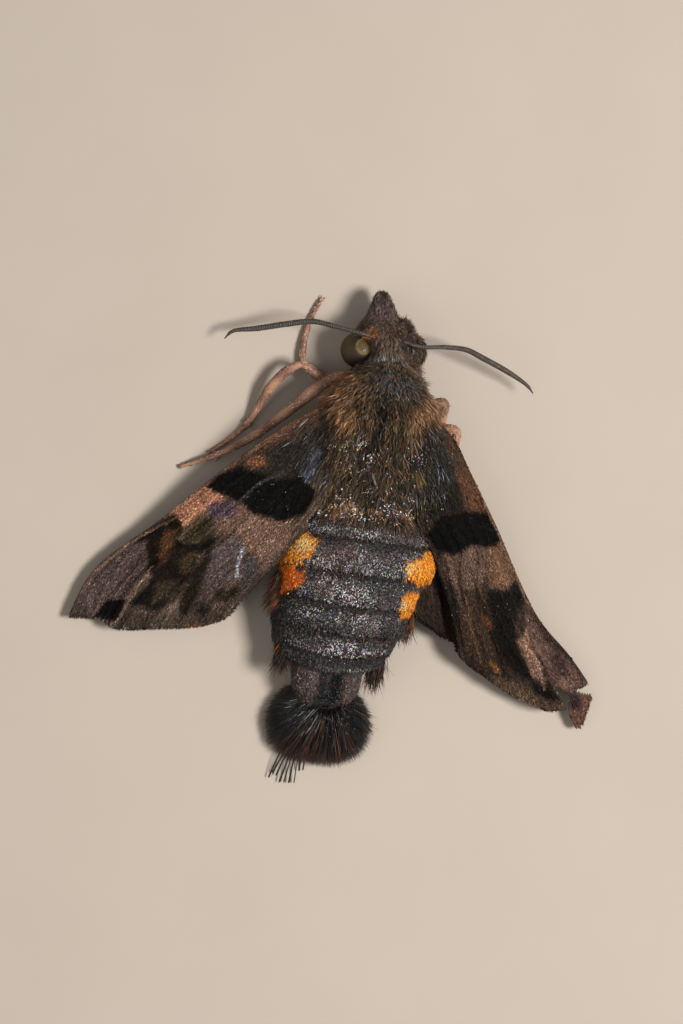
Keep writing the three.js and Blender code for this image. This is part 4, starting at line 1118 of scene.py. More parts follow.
# veins, as places along and across the wing from 0 to 1
veins = [
    ((0, 0.08), (1, 0.05)), ((0, 0.2), (0.45, 0.15), (1, 0.12)), ((0.3, 0.2), (0.6, 0.22), (1, 0.22)),
    ((0.45, 0.3), (1, 0.33)), ((0.45, 0.42), (1, 0.44)), ((0.45, 0.52), (1, 0.56)),
    ((0, 0.55), (0.45, 0.6), (1, 0.69)), ((0.3, 0.6), (1, 0.82)), ((0, 0.85), (1, 0.94)),
]
wingColours = {
    "forewing_left": {
        "ground": (84, 68, 58),
        "areas": [  # colour, outline in plan, softness of its edge, strength
            ((108, 74, 54), [(10.3, 4.9), (9.1, 3.3), (7.5, 1.6), (5.8, 0.0), (4.0, -1.5), (3.6, -0.6),
             (5.4, 1.0), (7.1, 2.5), (8.3, 3.4), (9.0, 4.0)], 0.4, 0.85),
            ((40, 36, 33), [(8.7, 3.1), (7.2, 2.0), (5.3, 1.0), (3.2, -1.0), (3.0, 1.6), (4.2, 4.4),
             (6.2, 4.6), (7.4, 4.2), (9.1, 4.0)], 0.5, 0.92),
            ((136, 88, 58), [(8.3, 3.1), (7.3, 2.6), (7.0, 3.2), (8.0, 3.7)], 0.3, 0.7),
            # painted sheen: a blue-grey patch near the root
            ((96, 98, 116), [(4.7, 3.6), (4.4, 2.4), (4.1, 1.5), (3.6, 1.9), (3.7, 3.2),
             (4.2, 4.0)], 0.3, 0.6),
            ((162, 112, 86), [(12.7, 7.4), (11.8, 6.3), (10.3, 5.0), (9.4, 5.7), (9.4, 6.4), (10.4, 6.8),
             (11.3, 8.0), (11.8, 8.5)], 0.3, 0.95),
            ((118, 90, 75), [(9.8, 7.3), (9.4, 6.3), (8.2, 6.2), (6.5, 6.8), (4.7, 7.0), (5.0, 8.6),
             (6.2, 9.8), (7.5, 9.4), (8.0, 8.4), (8.4, 8.2), (9.7, 8.5)], 0.35, 0.92),
            ((88, 75, 72), [(10.2, 9.8), (9.1, 9.0), (8.4, 8.6), (7.6, 9.2), (7.9, 11.5), (8.9, 12.1),
             (9.9, 12.1), (10.3, 11.2)], 0.4, 0.8),
            ((72, 62, 78), [(10.6, 6.5), (9.4, 6.1), (8.6, 6.5), (9.0, 7.3), (10.0, 7.3)], 0.3, 0.75),
            ((50, 44, 26), [(11.7, 9.4), (11.7, 8.4), (10.9, 7.6), (10.4, 7.4), (10.0, 8.0), (10.2, 8.8),
             (10.7, 9.4)], 0.4, 0.85),
            ((11, 8, 4), [(15.2, 10.0), (13.8, 8.5), (12.5, 7.5), (12.0, 8.0), (11.9, 8.5), (12.1, 9.2),
             (11.7, 9.4), (10.7, 9.3), (10.1, 8.7), (9.4, 8.9), (10.2, 9.8), (10.6, 10.2), (10.8, 11.3),
             (11.2, 12.1), (11.6, 13.4), (12.3, 14.0), (13.2, 14.4), (14.8, 14.1), (13.9, 13.0),
             (13.5, 12.1), (13.9, 11.4), (14.0, 10.4)], 0.22, 0.95),
            ((92, 60, 38), [(12.9, 8.8), (12.2, 8.7), (12.3, 9.6), (12.7, 10.7), (13.1, 11.0),
             (13.3, 10.1)], 0.3, 0.8),
            ((70, 54, 38), [(11.8, 10.8), (11.3, 10.2), (10.7, 9.8), (10.8, 10.4), (11.1, 11.6),
             (11.6, 11.6)], 0.25, 0.7),
            ((62, 50, 38), [(13.2, 12.5), (11.6, 12.1), (11.6, 13.2), (12.3, 13.7), (13.2, 13.8)], 0.35, 0.8),
            ((15, 12, 7), [(10.1, 9.3), (10.3, 10.0), (10.5, 10.6), (11.1, 11.8), (11.3, 12.9),
             (11.3, 14.4), (10.7, 14.7), (10.2, 13.1), (10.0, 11.6), (9.7, 10.2)], 0.3, 0.88),
            ((16, 13, 9), [(10.2, 13.6), (9.7, 13.3), (9.1, 13.9), (9.5, 14.5), (10.2, 14.3)], 0.3, 0.85),
            ((20, 16, 11), [(9.1, 12.4), (8.2, 12.1), (7.6, 11.8), (7.3, 12.4), (8.1, 13.1),
             (8.9, 13.2)], 0.25, 0.8),
            ((60, 59, 60), [(7.5, 9.7), (6.7, 9.8), (6.5, 11.0), (7.1, 11.9), (7.6, 10.8)], 0.3, 0.75),
            ((90, 73, 67), [(14.2, 9.7), (14.0, 11.4), (14.5, 13.3), (15.0, 13.9), (16.4, 14.0),
             (17.0, 15.4), (18.4, 15.2), (18.4, 13.4), (17.1, 11.7), (15.6, 10.2)], 0.2, 0.9),
            ((66, 54, 46), [(19.2, 16.4), (18.7, 14.4), (18.3, 13.9), (17.7, 14.7), (17.0, 15.4),
             (17.8, 16.3)], 0.25, 0.85),
            ((66, 55, 46), [(15.3, 15.2), (13.0, 14.7), (10.2, 14.4), (8.4, 13.7), (7.6, 12.6), (6.8, 12.0),
             (7.4, 14.6), (9.0, 15.6), (11.8, 16.4), (15.6, 16.8)], 0.3, 0.8),
            ((110, 74, 46), [(11.0, 15.7), (10.5, 15.0), (9.3, 14.9), (8.1, 14.3), (7.8, 15.0),
             (9.4, 15.8)], 0.2, 0.6),
            ((14, 13, 11), [(10.7, 5.3), (9.9, 4.3), (8.8, 3.7), (7.4, 3.9), (6.2, 4.2), (4.8, 3.7),
             (3.6, 4.6), (4.1, 6.1), (5.3, 6.95), (6.2, 7.0), (7.5, 6.8), (8.2, 6.2), (9.1, 5.8),
             (10.2, 5.7)], 0.16, 1.0),
            ((12, 10, 9), [(16.3, 14.1), (15.0, 13.9), (15.5, 15.5), (17.0, 15.4)], 0.08, 1.0),
        ],
        "lines": [  # colour, path in plan, half width, strength
            ((70, 64, 66), [(8.5, 6.1), (7.4, 4.7), (6.4, 3.9)], 0.1, 0.75),
            ((34, 26, 24), [(14.0, 9.9), (14.9, 12.0), (16.4, 14.0)], 0.07, 0.6),
            ((34, 26, 24), [(15.1, 10.4), (16.4, 12.4), (17.2, 14.5)], 0.07, 0.5),
            ((128, 102, 84), [(13.6, 11.4), (14.4, 13.0), (15.5, 15.6)], 0.06, 0.75),
            ((200, 200, 208), [(7.7, 9.2), (7.9, 10.1), (7.8, 11.2)], 0.12, 0.5),
            ((120, 80, 54), [(6.6, 11.6), (7.1, 13.2), (8.0, 14.4), (9.2, 15.2)], 0.1, 0.6),
            ((120, 92, 74), [(11.9, 7.4), (15.3, 10.0), (18.6, 13.6)], 0.08, 0.6),
        ],
        # sparks: pale scales that paint glints
        "sparks": [  # outline in plan, share of its scales that are bright
            ([(5.0, 3.8), (4.7, 2.0), (4.4, 0.6), (3.4, 0.9), (3.4, 3.4), (4.2, 4.4)], 0.16),
            ([(8.5, 6.2), (7.4, 4.5), (6.4, 3.8), (6.0, 4.4), (7.6, 6.2)], 0.05),
            ([(7.5, 9.2), (7.6, 11.4), (8.3, 11.6), (8.1, 9.2)], 0.12),
            ([(7.6, 4.2), (6.0, 4.4), (4.4, 4.6), (4.6, 6.6), (7.0, 6.6)], 0.015),
        ],
    },
    "forewing_right": {
        # painted shade: the left forewing's ground, darker
        "ground": (50, 39, 32),
        "areas": [
            ((26, 24, 18), [(-2.5, 0.0), (-3.8, -0.9), (-5.6, -0.2), (-6.4, 2.3), (-7.1, 4.7), (-4.6, 5.5),
             (-2.6, 5.2)], 0.5, 0.92),
            ((86, 58, 40), [(-4.4, -1.6), (-5.6, -0.4), (-6.6, 0.6), (-8.3, 2.5), (-9.7, 4.5), (-7.6, 4.5),
             (-6.4, 2.3), (-5.2, 0.4)], 0.35, 0.85),
            ((98, 76, 64), [(-6.0, 7.8), (-7.0, 7.4), (-7.9, 6.8), (-9.6, 6.8), (-9.5, 8.5), (-9.2, 9.9),
             (-7.9, 10.1), (-6.4, 9.2)], 0.35, 0.85),
            ((110, 82, 62), [(-9.5, 7.1), (-10.5, 6.0), (-11.6, 7.1), (-12.5, 8.7), (-11.4, 9.7),
             (-10.0, 9.6), (-9.5, 8.3)], 0.25, 0.9),
            ((22, 20, 17), [(-5.6, 8.2), (-6.6, 9.3), (-8.0, 11.6), (-9.2, 14.4), (-8.0, 13.8),
             (-6.6, 11.4)], 0.35, 0.85),
            ((60, 45, 34), [(-7.9, 10.1), (-9.4, 9.9), (-10.3, 11.7), (-11.4, 13.5), (-12.2, 15.6),
             (-10.5, 15.6), (-9.0, 13.6)], 0.4, 0.8),
            ((16, 14, 12), [(-9.7, 9.9), (-11.4, 9.6), (-12.8, 9.1), (-13.2, 10.1), (-12.4, 12.0),
             (-12.9, 13.4), (-14.9, 15.6), (-13.6, 15.7), (-11.8, 14.4), (-10.6, 12.2)], 0.3, 0.92),
            ((104, 78, 68), [(-13.4, 10.7), (-15.1, 12.7), (-17.2, 14.1), (-19.1, 15.6), (-17.5, 16.3),
             (-16.3, 16.1), (-15.3, 14.6), (-13.9, 12.8)], 0.3, 0.88),
            ((128, 98, 80), [(-12.8, 13.1), (-13.6, 12.3), (-15.3, 15.3), (-15.6, 16.2),
             (-14.6, 15.6)], 0.2, 0.8),
            ((50, 36, 34), [(-15.6, 14.0), (-16.6, 13.4), (-17.4, 15.0), (-16.4, 15.7)], 0.3, 0.75),
            ((14, 12, 11), [(-14.7, 15.5), (-16.1, 16.2), (-16.7, 16.8), (-15.7, 17.1),
             (-14.6, 16.8)], 0.2, 0.85),
            ((84, 66, 52), [(-11.5, 15.8), (-13.7, 16.1), (-15.7, 17.0), (-17.3, 17.2), (-17.3, 18.2),
             (-14.6, 18.0), (-12.2, 17.2)], 0.25, 0.8),
            ((96, 68, 54), [(-17.8, 16.4), (-19.9, 16.0), (-19.9, 17.9), (-19.1, 19.4),
             (-17.8, 18.4)], 0.2, 0.9),
            ((34, 24, 30), [(-17.6, 16.3), (-18.7, 16.5), (-18.7, 17.5), (-18.0, 17.6)], 0.2, 0.85),
            ((10, 9, 8), [(-5.3, 5.1), (-7.1, 4.5), (-9.4, 4.4), (-10.8, 6.0), (-10.3, 6.8), (-8.0, 6.8),
             (-7.0, 7.7), (-5.6, 7.5), (-4.4, 6.5)], 0.18, 1.0),
        ],
        "lines": [
            ((28, 22, 18), [(-7.3, 7.3), (-7.6, 9.4), (-8.4, 11.0)], 0.12, 0.75),
            ((30, 24, 19), [(-8.6, 7.2), (-8.9, 9.6), (-9.6, 11.4)], 0.09, 0.65),
            ((24, 20, 16), [(-9.6, 10.6), (-11.0, 13.2), (-12.4, 15.6)], 0.1, 0.6),
            ((104, 80, 62), [(-8.3, 10.4), (-9.4, 12.8), (-10.6, 15.0)], 0.07, 0.5),
            ((20, 17, 14), [(-6.2, 8.0), (-7.8, 11.2), (-9.0, 13.8)], 0.12, 0.7),
            ((112, 66, 40), [(-10.0, 11.7), (-10.6, 12.4)], 0.2, 0.6),
            ((124, 78, 46), [(-11.3, 14.9), (-11.9, 15.4)], 0.2, 0.6),
            ((126, 94, 72), [(-8.3, 2.6), (-9.7, 4.8), (-11.5, 7.1), (-13.3, 10.1),
             (-15.9, 12.6)], 0.09, 0.6),
            ((130, 104, 88), [(-13.5, 12.2), (-14.6, 14.4), (-15.6, 16.3)], 0.07, 0.7),
        ],
        "sparks": [
            ([(-4.0, 0.6), (-5.6, 1.2), (-6.4, 4.4), (-4.6, 5.8), (-3.2, 4.6)], 0.06),
            ([(-6.6, 7.6), (-9.6, 9.8), (-12.4, 14.6), (-10.0, 14.8), (-7.0, 10.6)], 0.01),
        ],
    },
    "hindwing_left": {"ground": (74, 52, 36), "areas": [], "lines": [], "sparks": []},
    # painted shade: the left hindwing's ground, darker
    "hindwing_right": {"ground": (46, 35, 27), "areas": [], "lines": [], "sparks": []},
}


def wingPoint(wing, u, v):
    # a blend of four edges: lead and trail by v, root and tip by u, less the corners; then the arch
    lead, trail, tip = (np.array(wing[key], float) for key in ("lead", "trail", "tip"))
    a, b = u[..., None], v[..., None]
    p = curveAt(lead, u, True) * (1 - b) + curveAt(trail, u, True) * b
    p = p + (lead[0] * (1 - b) + trail[0] * b) * (1 - a) + curveAt(tip, v) * a
    p = p - lead[0] * (1 - a) * (1 - b) - trail[0] * (1 - a) * b - tip[0] * a * (1 - b) - tip[-1] * a * b
    swell = np.sin(math.pi * (membrane["archStart"] + membrane["archSpan"] * u))
    p[..., 2] += wing["arch"] * 4 * v * (1 - v) * swell
    return p


def onWing(u, v, across=1.0, along=1.0):
    # places on a wing as points of a plane, stretched by these factors
    return np.stack([u * across, v * along, 0 * u], -1)


def wingTint(name, u, v, p):
    # ground colour with slow changes, then areas and lines, their edges broken by noise
    marks = wingColours[name]
    plan = p[..., :2]
    slow, quick = ripple(p, 3.5, 41), ripple(p, 0.55, 42)
    streak, fine = ripple(onWing(u, v, 5, 30), 1.5, 45), ripple(onWing(u, v, 8, 70), 1.5, 47)
    free = smooth(u, 0.05, 0.4)
    change = 0.2 * slow + 0.12 * quick + (0.3 * streak + 0.2 * fine) * free
    colour = (np.zeros(p.shape) + linear(marks["ground"])) * np.exp(change)[..., None]
    for tone, outline, edge, strength in marks["areas"]:
        share = strength * smooth(insideBy(plan, outline) + 0.35 * edge * quick, -edge, edge)
        colour = colour + (linear(tone) - colour) * share[..., None]
    for tone, path, half, strength in marks["lines"]:
        share = strength * (1 - smooth(lineDistance(plan, path), half * 0.4, half * 1.4))
        colour = colour + (linear(tone) - colour) * share[..., None]
    return colour * np.exp((0.25 * streak + 0.22 * fine) * free)[..., None]


def wingForm(wing, u, v):
    # the upper surface: the blend, with raised veins, hollows between them and a slow wave
    p = wingPoint(wing, u, v)
    size = np.array(membrane["size"])
    flat = np.stack([u, v], -1) * size
    ridge = np.min([lineDistance(flat, np.array(path) * size) for path in veins], axis=0)
    lift = membrane["veinHeight"] * hump(ridge, 0, membrane["veinHalf"]) - 0.05 * smooth(ridge, 0.1, 0.7)
    folds = ripple(onWing(u, v, 0.9, 8), 1.1, 46) * smooth(u, 0.08, 0.4)
    p[..., 2] += lift * smooth(u, 0.05, 0.3) + wing["fold"] * folds + 0.2
    p[..., 2] = np.maximum(p[..., 2], 0.12)
    return p


def wingHalf(v):
    # half the membrane's thickness, as a vector; more along the front edge
    thin, thick = membrane["thickness"], membrane["leadThickness"]
    return ((thin + (thick - thin) * hump(v, 0, 0.03)) / 2)[..., None] * (0, 0, 1)


def makeWing(name, wing, material):
    # an upper and a lower grid; squares inside a tear are left out, and walls close every open side
    rows, columns, last = wing["rows"], wing["columns"], 1 - membrane["margin"]
    u, v = np.meshgrid(np.linspace(0.0, last, rows), np.linspace(0, last, columns), indexing="ij")
    p, half = wingForm(wing, u, v), wingHalf(v)
    centre = (p[:-1, :-1] + p[1:, 1:])[..., :2] / 2
    kept = np.ones(centre.shape[:2], bool)
    ragged = 0.12 * ripple(p[:-1, :-1], 0.6, 44)
    for outline in wing["tears"]:
        kept &= insideBy(centre, outline) + ragged < 0
    number = np.arange(rows * columns).reshape(rows, columns)
    corners = np.stack([number[:-1, :-1], number[1:, :-1], number[1:, 1:], number[:-1, 1:]], -1)
    padded = np.pad(kept, 1)
    beside = [padded[1:-1, :-2], padded[2:, 1:-1], padded[1:-1, 2:], padded[:-2, 1:-1]]
    under = rows * columns
    walls = []
    for k in range(4):
        bare = kept & ~beside[k]
        a, b = corners[bare][:, k], corners[bare][:, (k + 1) % 4]
        walls.append(np.stack([b, a, a + under, b + under], -1))
    quads = corners[kept]
    used, faces = np.unique(np.vstack([quads, quads[:, ::-1] + under, *walls]), return_inverse=True)
    faces = faces.reshape(-1, 4)
    points, tint, lie = (
        np.vstack([upper.reshape(-1, 3), lower.reshape(-1, 3)])[used]
        for upper, lower in ((p + half, p - half), (wingTint(name, u, v, p),) * 2,
                             (onWing(u, v, 24, 11),) * 2)
    )
    makePiece(name + "_membrane", points, outward(points, [faces]), material, (name,),
              {"tint": tint, "lie": lie})


wingScales = {
    "count": 32500, "hindShare": 0.12, "length": 0.25, "width": 0.095, "lift": 0.12, "vary": 0.5,
    # pale tints that paint glints
    "bright": ("white", "blueWhite", "grey", "pink"),
}
rootHair = {
    "count": 2300, "length": 1.15, "width": 0.055, "lift": 0.12,
    "rare": [("paleGrey", 0.02), ("blueWhite", 0.01), ("black", 0.15)],
}
fringe = {"count": 1800, "length": 0.4, "width": 0.065, "outerShare": 0.6}


def wingFrame(wing, u, v):
    # the place on the upper side, the way to the margin, the way back from the front edge and the way up
    outwards = unit(wingForm(wing, u + 0.004, v) - wingForm(wing, u - 0.004, v))
    rear = unit(wingForm(wing, u, v + 0.004) - wingForm(wing, u, v - 0.004))
    up = unit(np.cross(outwards, rear))
    return wingForm(wing, u, v) + wingHalf(v), outwards, rear, np.where(up[..., 2:] < 0, -up, up)


def wingHome(u, v):
    # the unwrap of a wing
    return np.column_stack([0.01 + 0.97 * u, 0.01 + 0.97 * v])


def clearOf(wing, p, gap):
    # true where a place is at least this far from every tear
    clear = np.ones(len(p), bool)
    for outline in wing["tears"]:
        clear &= insideBy(p[:, :2], outline) < -gap
    return clear


def makeWingScales(name, wing, material, share):
    # scales over the upper side, in rows to the margin, each in the colour of its place, with pale sparks
    # that paint glints
    count = int(wingScales["count"] * share)
    u, v = rng.uniform(0.02, 0.988, count * 2), rng.uniform(0.003, 0.988, count * 2)
    spread = np.linalg.norm(wingPoint(wing, u, np.ones_like(u)) - wingPoint(wing, u, np.zeros_like(u)),
                            axis=1)
    keep = rng.uniform(0, spread.max(), len(u)) < spread
    u, v = u[keep][:count], v[keep][:count]
    p, outwards, rear, up = wingFrame(wing, u, v)
    u, v, p, outwards, rear, up = picked(clearOf(wing, p, 0.1), u, v, p, outwards, rear, up)
    lie = turned(outwards, rear, rng.normal(0, 0.25, len(u)))
    ground = wingTint(name, u, v, p)
    dark = smooth(-ground.max(axis=1), -0.02, -0.008)
    chance = 0.001 + 0.012 * dark * smooth(ripple(p, 1.2, 62), -0.2, 0.7)
    for outline, many in wingColours[name]["sparks"]:
        chance = chance + many * smooth(insideBy(p[:, :2], outline), -0.1, 0.3)
    spark = rng.uniform(size=len(u)) < chance
    bright = vary(oneOf(wingScales["bright"], len(u)), 0.4)
    tint = np.where(spark[:, None], bright, vary(ground, wingScales["vary"]))
    length = wingScales["length"] * about(0.7, 1.3, u) * np.where(spark, 0.45, 1)
    makeCoat(name + "_scales", material, p, lie, up, length,
             wingScales["width"] * about(0.7, 1.2, u) * np.where(spark, 0.6, 1),
             wingScales["lift"] * about(0.2, 2.4, u), tint, wingHome(u, v),
             shape=scaleShape, curl=0.06, sway=0.05, roll=0.3, sink=0.012)


def makeRootHair(name, wing, material):
    # long hair over the root of the wing, between the fur of the thorax and the scales
    count = rootHair["count"]
    u = 0.01 + 0.2 * rng.uniform(size=count) ** 1.6
    v = rng.uniform(0.02, 0.99, count)
    p, outwards, rear, up = wingFrame(wing, u, v)
    lie = unit(turned(outwards, rear, 0.35 + 0.4 * ripple(p, 1.4, 63) + rng.normal(0, 0.12, count)))
    ground = stir(
        wingTint(name, u, v, p),
        ("darkOlive", 0.5 + 0.4 * ripple(p, 1.2, 64)),
        ("yellowOlive", smooth(v, 0.45, 0.95) * 0.5 * (rng.uniform(size=count) < 0.5)),
        ("brown", (1 - smooth(v, 0.1, 0.35)) * 0.7 * (rng.uniform(size=count) < 0.5)),
    )
    tint = vary(ground, 0.45, rootHair["rare"])
    makeCoat(name + "_rootHair", material, p, lie, up, rootHair["length"] * about(0.4, 1.15, u),
             rootHair["width"], rootHair["lift"] * about(0.3, 2.2, u), tint, wingHome(u, v),
             curl=0.1, sway=0.14, sink=0.02)


def makeFringe(name, wing, material):
    # short hairs along the outer and inner edges
    count = fringe["count"]
    edge = rng.uniform(0, 1, count)
    outer = np.arange(count) < count * fringe["outerShare"]
    u = np.where(outer, 0.98, 0.35 + 0.63 * edge)
    v = np.where(outer, 0.01 + 0.97 * edge, 0.98)
    p, outwards, rear, up = wingFrame(wing, u, v)
    p = p - up * 0.05
    lie = ruffled(np.where(outer[:, None], outwards, unit(rear + 0.5 * outwards)), 0.08)
    tint = vary(wingTint(name, u, v, p) * 0.8, 0.3)
    u, v, p, up, lie, tint = picked(clearOf(wing, p, 0.05), u, v, p, up, lie, tint)
    makeCoat(name + "_fringe", material, p, lie, up, fringe["length"] * about(0.5, 1.2, u),
             fringe["width"], 0.02, tint, wingHome(u, v), shape=scaleShape, curl=0.05, sway=0.1)


# ---- legs, feelers and tongue

legs = {
    "leg_front_left": {
        "path": [(1.8, -3.2, 1.2), (3.2, -3.5, 0.95), (4.6, -4.15, 0.65), (4.8, -5.3, 0.45),
                 (4.65, -6.8, 0.3), (4.3, -8.0, 0.24), (3.9, -8.9, 0.22)],
        "radii": [0.36, 0.3, 0.22, 0.25, 0.19, 0.14, 0.12],
    },
    "leg_mid_left": {
        "path": [(2.4, -2.6, 1.9), (4.0, -3.5, 2.1), (5.05, -4.0, 2.15), (5.9, -3.5, 1.9), (6.9, -2.1, 1.3),
                 (7.9, 0.4, 0.5), (9.0, 1.8, 0.24), (10.4, 3.0, 0.22)],
        "radii": [0.34, 0.36, 0.22, 0.34, 0.38, 0.2, 0.15, 0.1],
    },
    "leg_hind_left": {
        "path": [(1.8, -3.8, 3.4), (2.8, -3.4, 3.3), (4.3, -2.1, 3.0), (6.2, 0.0, 2.2), (8.2, 1.9, 1.5),
                 (10.0, 3.15, 1.0), (12.35, 4.3, 0.22)],
        "radii": [0.32, 0.36, 0.46, 0.36, 0.28, 0.18, 0.12],
    },
    "leg_front_right": {
        "path": [(-2.6, -3.2, 1.6), (-3.3, -4.1, 1.3), (-3.3, -5.1, 0.8), (-2.6, -6.4, 0.3),
                 (-1.8, -7.6, 0.22)],
        "radii": [0.34, 0.32, 0.24, 0.16, 0.12],
    },
    "leg_mid_right": {
        "path": [(-3.8, -2.0, 1.6), (-5.45, -2.7, 2.0), (-5.7, -1.4, 1.3), (-7.2, 1.4, 0.7),
                 (-8.8, 4.2, 0.24), (-10.0, 6.2, 0.22)],
        "radii": [0.36, 0.42, 0.32, 0.26, 0.16, 0.12],
    },
    "leg_hind_right": {
        "path": [(-4.2, 0.2, 1.6), (-5.6, -0.9, 2.4), (-6.5, -0.9, 2.6), (-6.7, 0.3, 2.2), (-8.4, 4.0, 1.2),
                 (-10.6, 8.4, 0.24), (-12.2, 11.4, 0.22)],
        "radii": [0.34, 0.36, 0.34, 0.3, 0.3, 0.17, 0.12],
    },
}
feelers = {
    "antenna_left": [(0.7, -1.7, 4.6), (1.5, -1.9, 4.9), (3.4, -2.4, 4.3), (5.2, -2.8, 3.6), (6.9, -2.6, 3.0),
                     (8.9, -2.25, 2.4), (10.6, -2.0, 1.9), (11.1, -1.5, 1.7)],
    "antenna_right": [(-0.9, -1.6, 4.7), (-2.2, -1.2, 4.8), (-4.35, -1.2, 4.1), (-5.9, -1.05, 3.6),
                      (-7.3, -0.45, 3.2), (-9.1, 0.4, 2.7), (-10.7, 1.35, 2.2), (-11.2, 1.9, 2.0)],
}
feelerRadii = [0.12, 0.13, 0.16, 0.19, 0.21, 0.2, 0.12, 0.04]
tongue = {"middle": (0, -2.5, 1.15), "turns": 1.15, "inner": 0.3, "growth": 0.52, "radius": 0.16}


def tubeFrame(path, share, radii):
    # along a smooth path: its point, its direction, two ways across it and its radius
    line = curveAt(path, share)
    along = unit(curveAt(path, np.clip(share + 0.002, 0, 1)) - curveAt(path, np.clip(share - 0.002, 0, 1)))
    across = unit(np.cross(along, (0, 0, 1.0)))
    radius = np.interp(share, np.linspace(0, 1, len(radii)), radii)
    return line, along, across, np.cross(across, along), radius


def makeTube(name, path, radii, material, node, rows=160, columns=14, rib=0.0, ribs=60):
    # a ring of points round each point of the path, its radius swelling a little at each rib
    share = np.linspace(0, 1, rows)
    line, along, across, top, radius = tubeFrame(path, share, radii)
    radius = radius * (1 + rib * np.sin(2 * math.pi * ribs * share))
    turn = rounds(columns)[None, :, None]
    ring = across[:, None] * np.cos(turn) + top[:, None] * np.sin(turn)
    points = (line[:, None] + ring * radius[:, None, None]).reshape(-1, 3)
    points = np.vstack([points, line[0] - along[0] * radius[0] * 0.3,
                        line[-1] + along[-1] * radius[-1] * 0.6])
    points[:, 2] = np.maximum(points[:, 2], 0.0)
    length = np.concatenate([[0], np.cumsum(np.linalg.norm(np.diff(line, axis=0), axis=1))])
    layer = np.concatenate([np.repeat(length, columns), [0, length[-1]]])
    makePiece(name, points, outward(points, tubeFaces(rows, columns)), material, (node,),
              {"along": layer})


limbScales = {
    "leg": {
        "slot": "leg_scales", "count": 1300, "length": 0.26, "width": 0.06, "lift": 0.14,
        "span": (0.02, 0.97), "tints": [(184, 138, 110), (158, 112, 84), (140, 104, 86), (206, 182, 168),
                                        (98, 68, 52), (180, 120, 80)],
    },
    "feeler": {
        "slot": "feeler_scales", "count": 900, "length": 0.14, "width": 0.05, "lift": 0.12,
        "span": (0.05, 0.9), "tints": [(80, 70, 60), (58, 48, 42), (98, 88, 80)],
    },
}


def makeLimbScales(name, path, radii, kind, material):
    # scales along a limb, pointing to its end
    kind = limbScales[kind]
    count, tints = kind["count"], linear(kind["tints"])
    share = rng.uniform(*kind["span"], count)
    line, along, across, top, radius = tubeFrame(path, share, radii)
    turn = rng.uniform(0, 2 * math.pi, count)
    out = turned(across, top, turn)
    tint = vary(tints[rng.integers(0, len(tints), count)], 0.25)
    makeCoat(name + "_coat", material, line + out * (radius * 0.92)[:, None],
             ruffled(along, 0.12), out, kind["length"] * about(0.6, 1.3, share), kind["width"],
             kind["lift"] * about(0.3, 1.6, share), tint,
             np.column_stack([share, turn / (2 * math.pi)]) * 0.96 + 0.02, shape=scaleShape, curl=0.03,
             sink=0.01)


spurs = {
    # share of the way along the leg where a pair of spurs stands, and their length
    "leg_front_left": [(0.62, 0.35)], "leg_front_right": [(0.62, 0.35)],
    "leg_mid_left": [(0.43, 0.5), (0.7, 0.75)], "leg_mid_right": [(0.7, 0.6)],
    "leg_hind_left": [(0.58, 0.6), (0.8, 0.8)], "leg_hind_right": [(0.6, 0.6), (0.8, 0.7)],
}
claws = (0.99, 0.3)


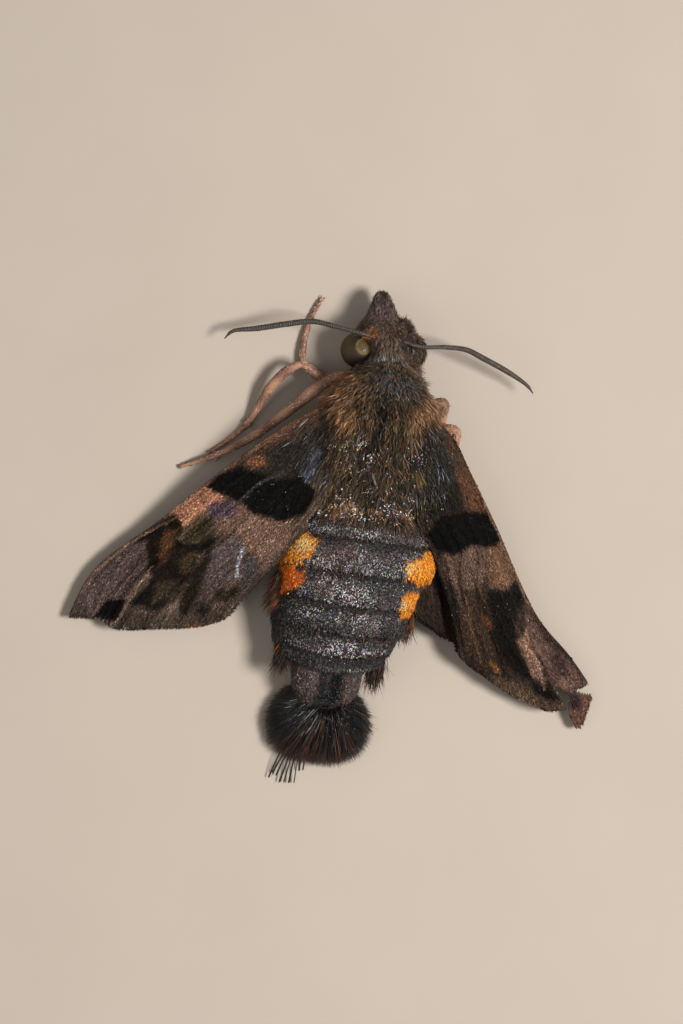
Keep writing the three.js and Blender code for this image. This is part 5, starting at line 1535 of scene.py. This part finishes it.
def makeSpurs(name, path, radii, material):
    # pairs of spurs along the shin and two dark claws at the foot
    share, length = np.repeat(np.array([*spurs[name], claws]), 2, axis=0).T
    side = np.where(np.arange(len(share)) % 2 == 0, 1.0, -1.0)[:, None]
    line, along, across, top, radius = tubeFrame(path, share, radii)
    lie = unit(along + side * across * 0.45 - (0, 0, 0.1))
    claw = share > 0.98
    tint = np.where(claw[:, None], linear((30, 22, 18)), linear((122, 82, 56)))
    home = np.column_stack([0.05 + 0.9 * share, 0.3 + 0.2 * side[:, 0]])
    makeCoat(name + "_spurs", material, line + across * side * radius[:, None] * 0.5, lie, top,
             length, np.where(claw, 0.06, 0.13), 0.0, tint, home, shape=longShape, curl=0.04, sink=0.0)


def makeLimbs():
    under = limbFinish("legScales", (168, 124, 98), (100, 68, 50), 2.5)
    coat = coatFinish("legCoat", 0.42, 0.45, 0.8)
    for name, leg in legs.items():
        path, radii = leg["path"], leg["radii"]
        makeTube(name + "_limb", path, radii, under, name)
        makeLimbScales(name, path, radii, "leg", coat)
        makeSpurs(name, path, radii, coat)
    under = limbFinish("feelerScales", (80, 68, 58), (30, 24, 20), 0.16)
    coat = coatFinish("feelerCoat", 0.5, 0.3, 0.8)
    for name, path in feelers.items():
        path = headPlace(path)
        makeTube(name + "_feeler", path, feelerRadii, under, name, 420, 12, 0.06, 70)
        makeLimbScales(name, path, feelerRadii, "feeler", coat)
    # the tongue: a spiral whose radius grows evenly as it turns
    turn = np.linspace(0, 1, 15) * tongue["turns"]
    radius = tongue["inner"] + tongue["growth"] * turn
    coil = np.column_stack([0 * turn, radius * np.cos(2 * math.pi * turn),
                            radius * np.sin(2 * math.pi * turn)])
    path = headPlace(coil + tongue["middle"])
    makeTube("proboscis_coil", path, [tongue["radius"]] * 3, under, "proboscis", rows=120)


# ---- making

makeCamera()
makeLight("key", studio["keyPlace"], studio["keySize"], studio["keyPower"])
makeLight("fill", studio["fillPlace"], studio["fillSize"], studio["fillPower"])
makeSky()
makeFloor()
print("studio ready")
makeSkin()
makeEyes()
print("skin and eyes ready")
makeThoraxFur()
makeHeadFur()
makeAbdomenScales()
print("fur and scales ready")
makeFan()
makeSideTufts()
print("tail and tufts ready")
wingCoat = coatFinish("wingScales", 0.65, 0.06, 0.8)
hairCoat = coatFinish("rootHair", 0.42, 0.4, 0.4)
for name, wing in wingEdges.items():
    fore = name.startswith("fore")
    makeWing(name, wing, membraneFinish(name))
    makeFringe(name, wing, wingCoat)
    makeWingScales(name, wing, wingCoat, 1.0 if fore else wingScales["hindShare"])
    if fore:
        makeRootHair(name, wing, hairCoat)
print("wings ready")
makeLimbs()
print("limbs ready")
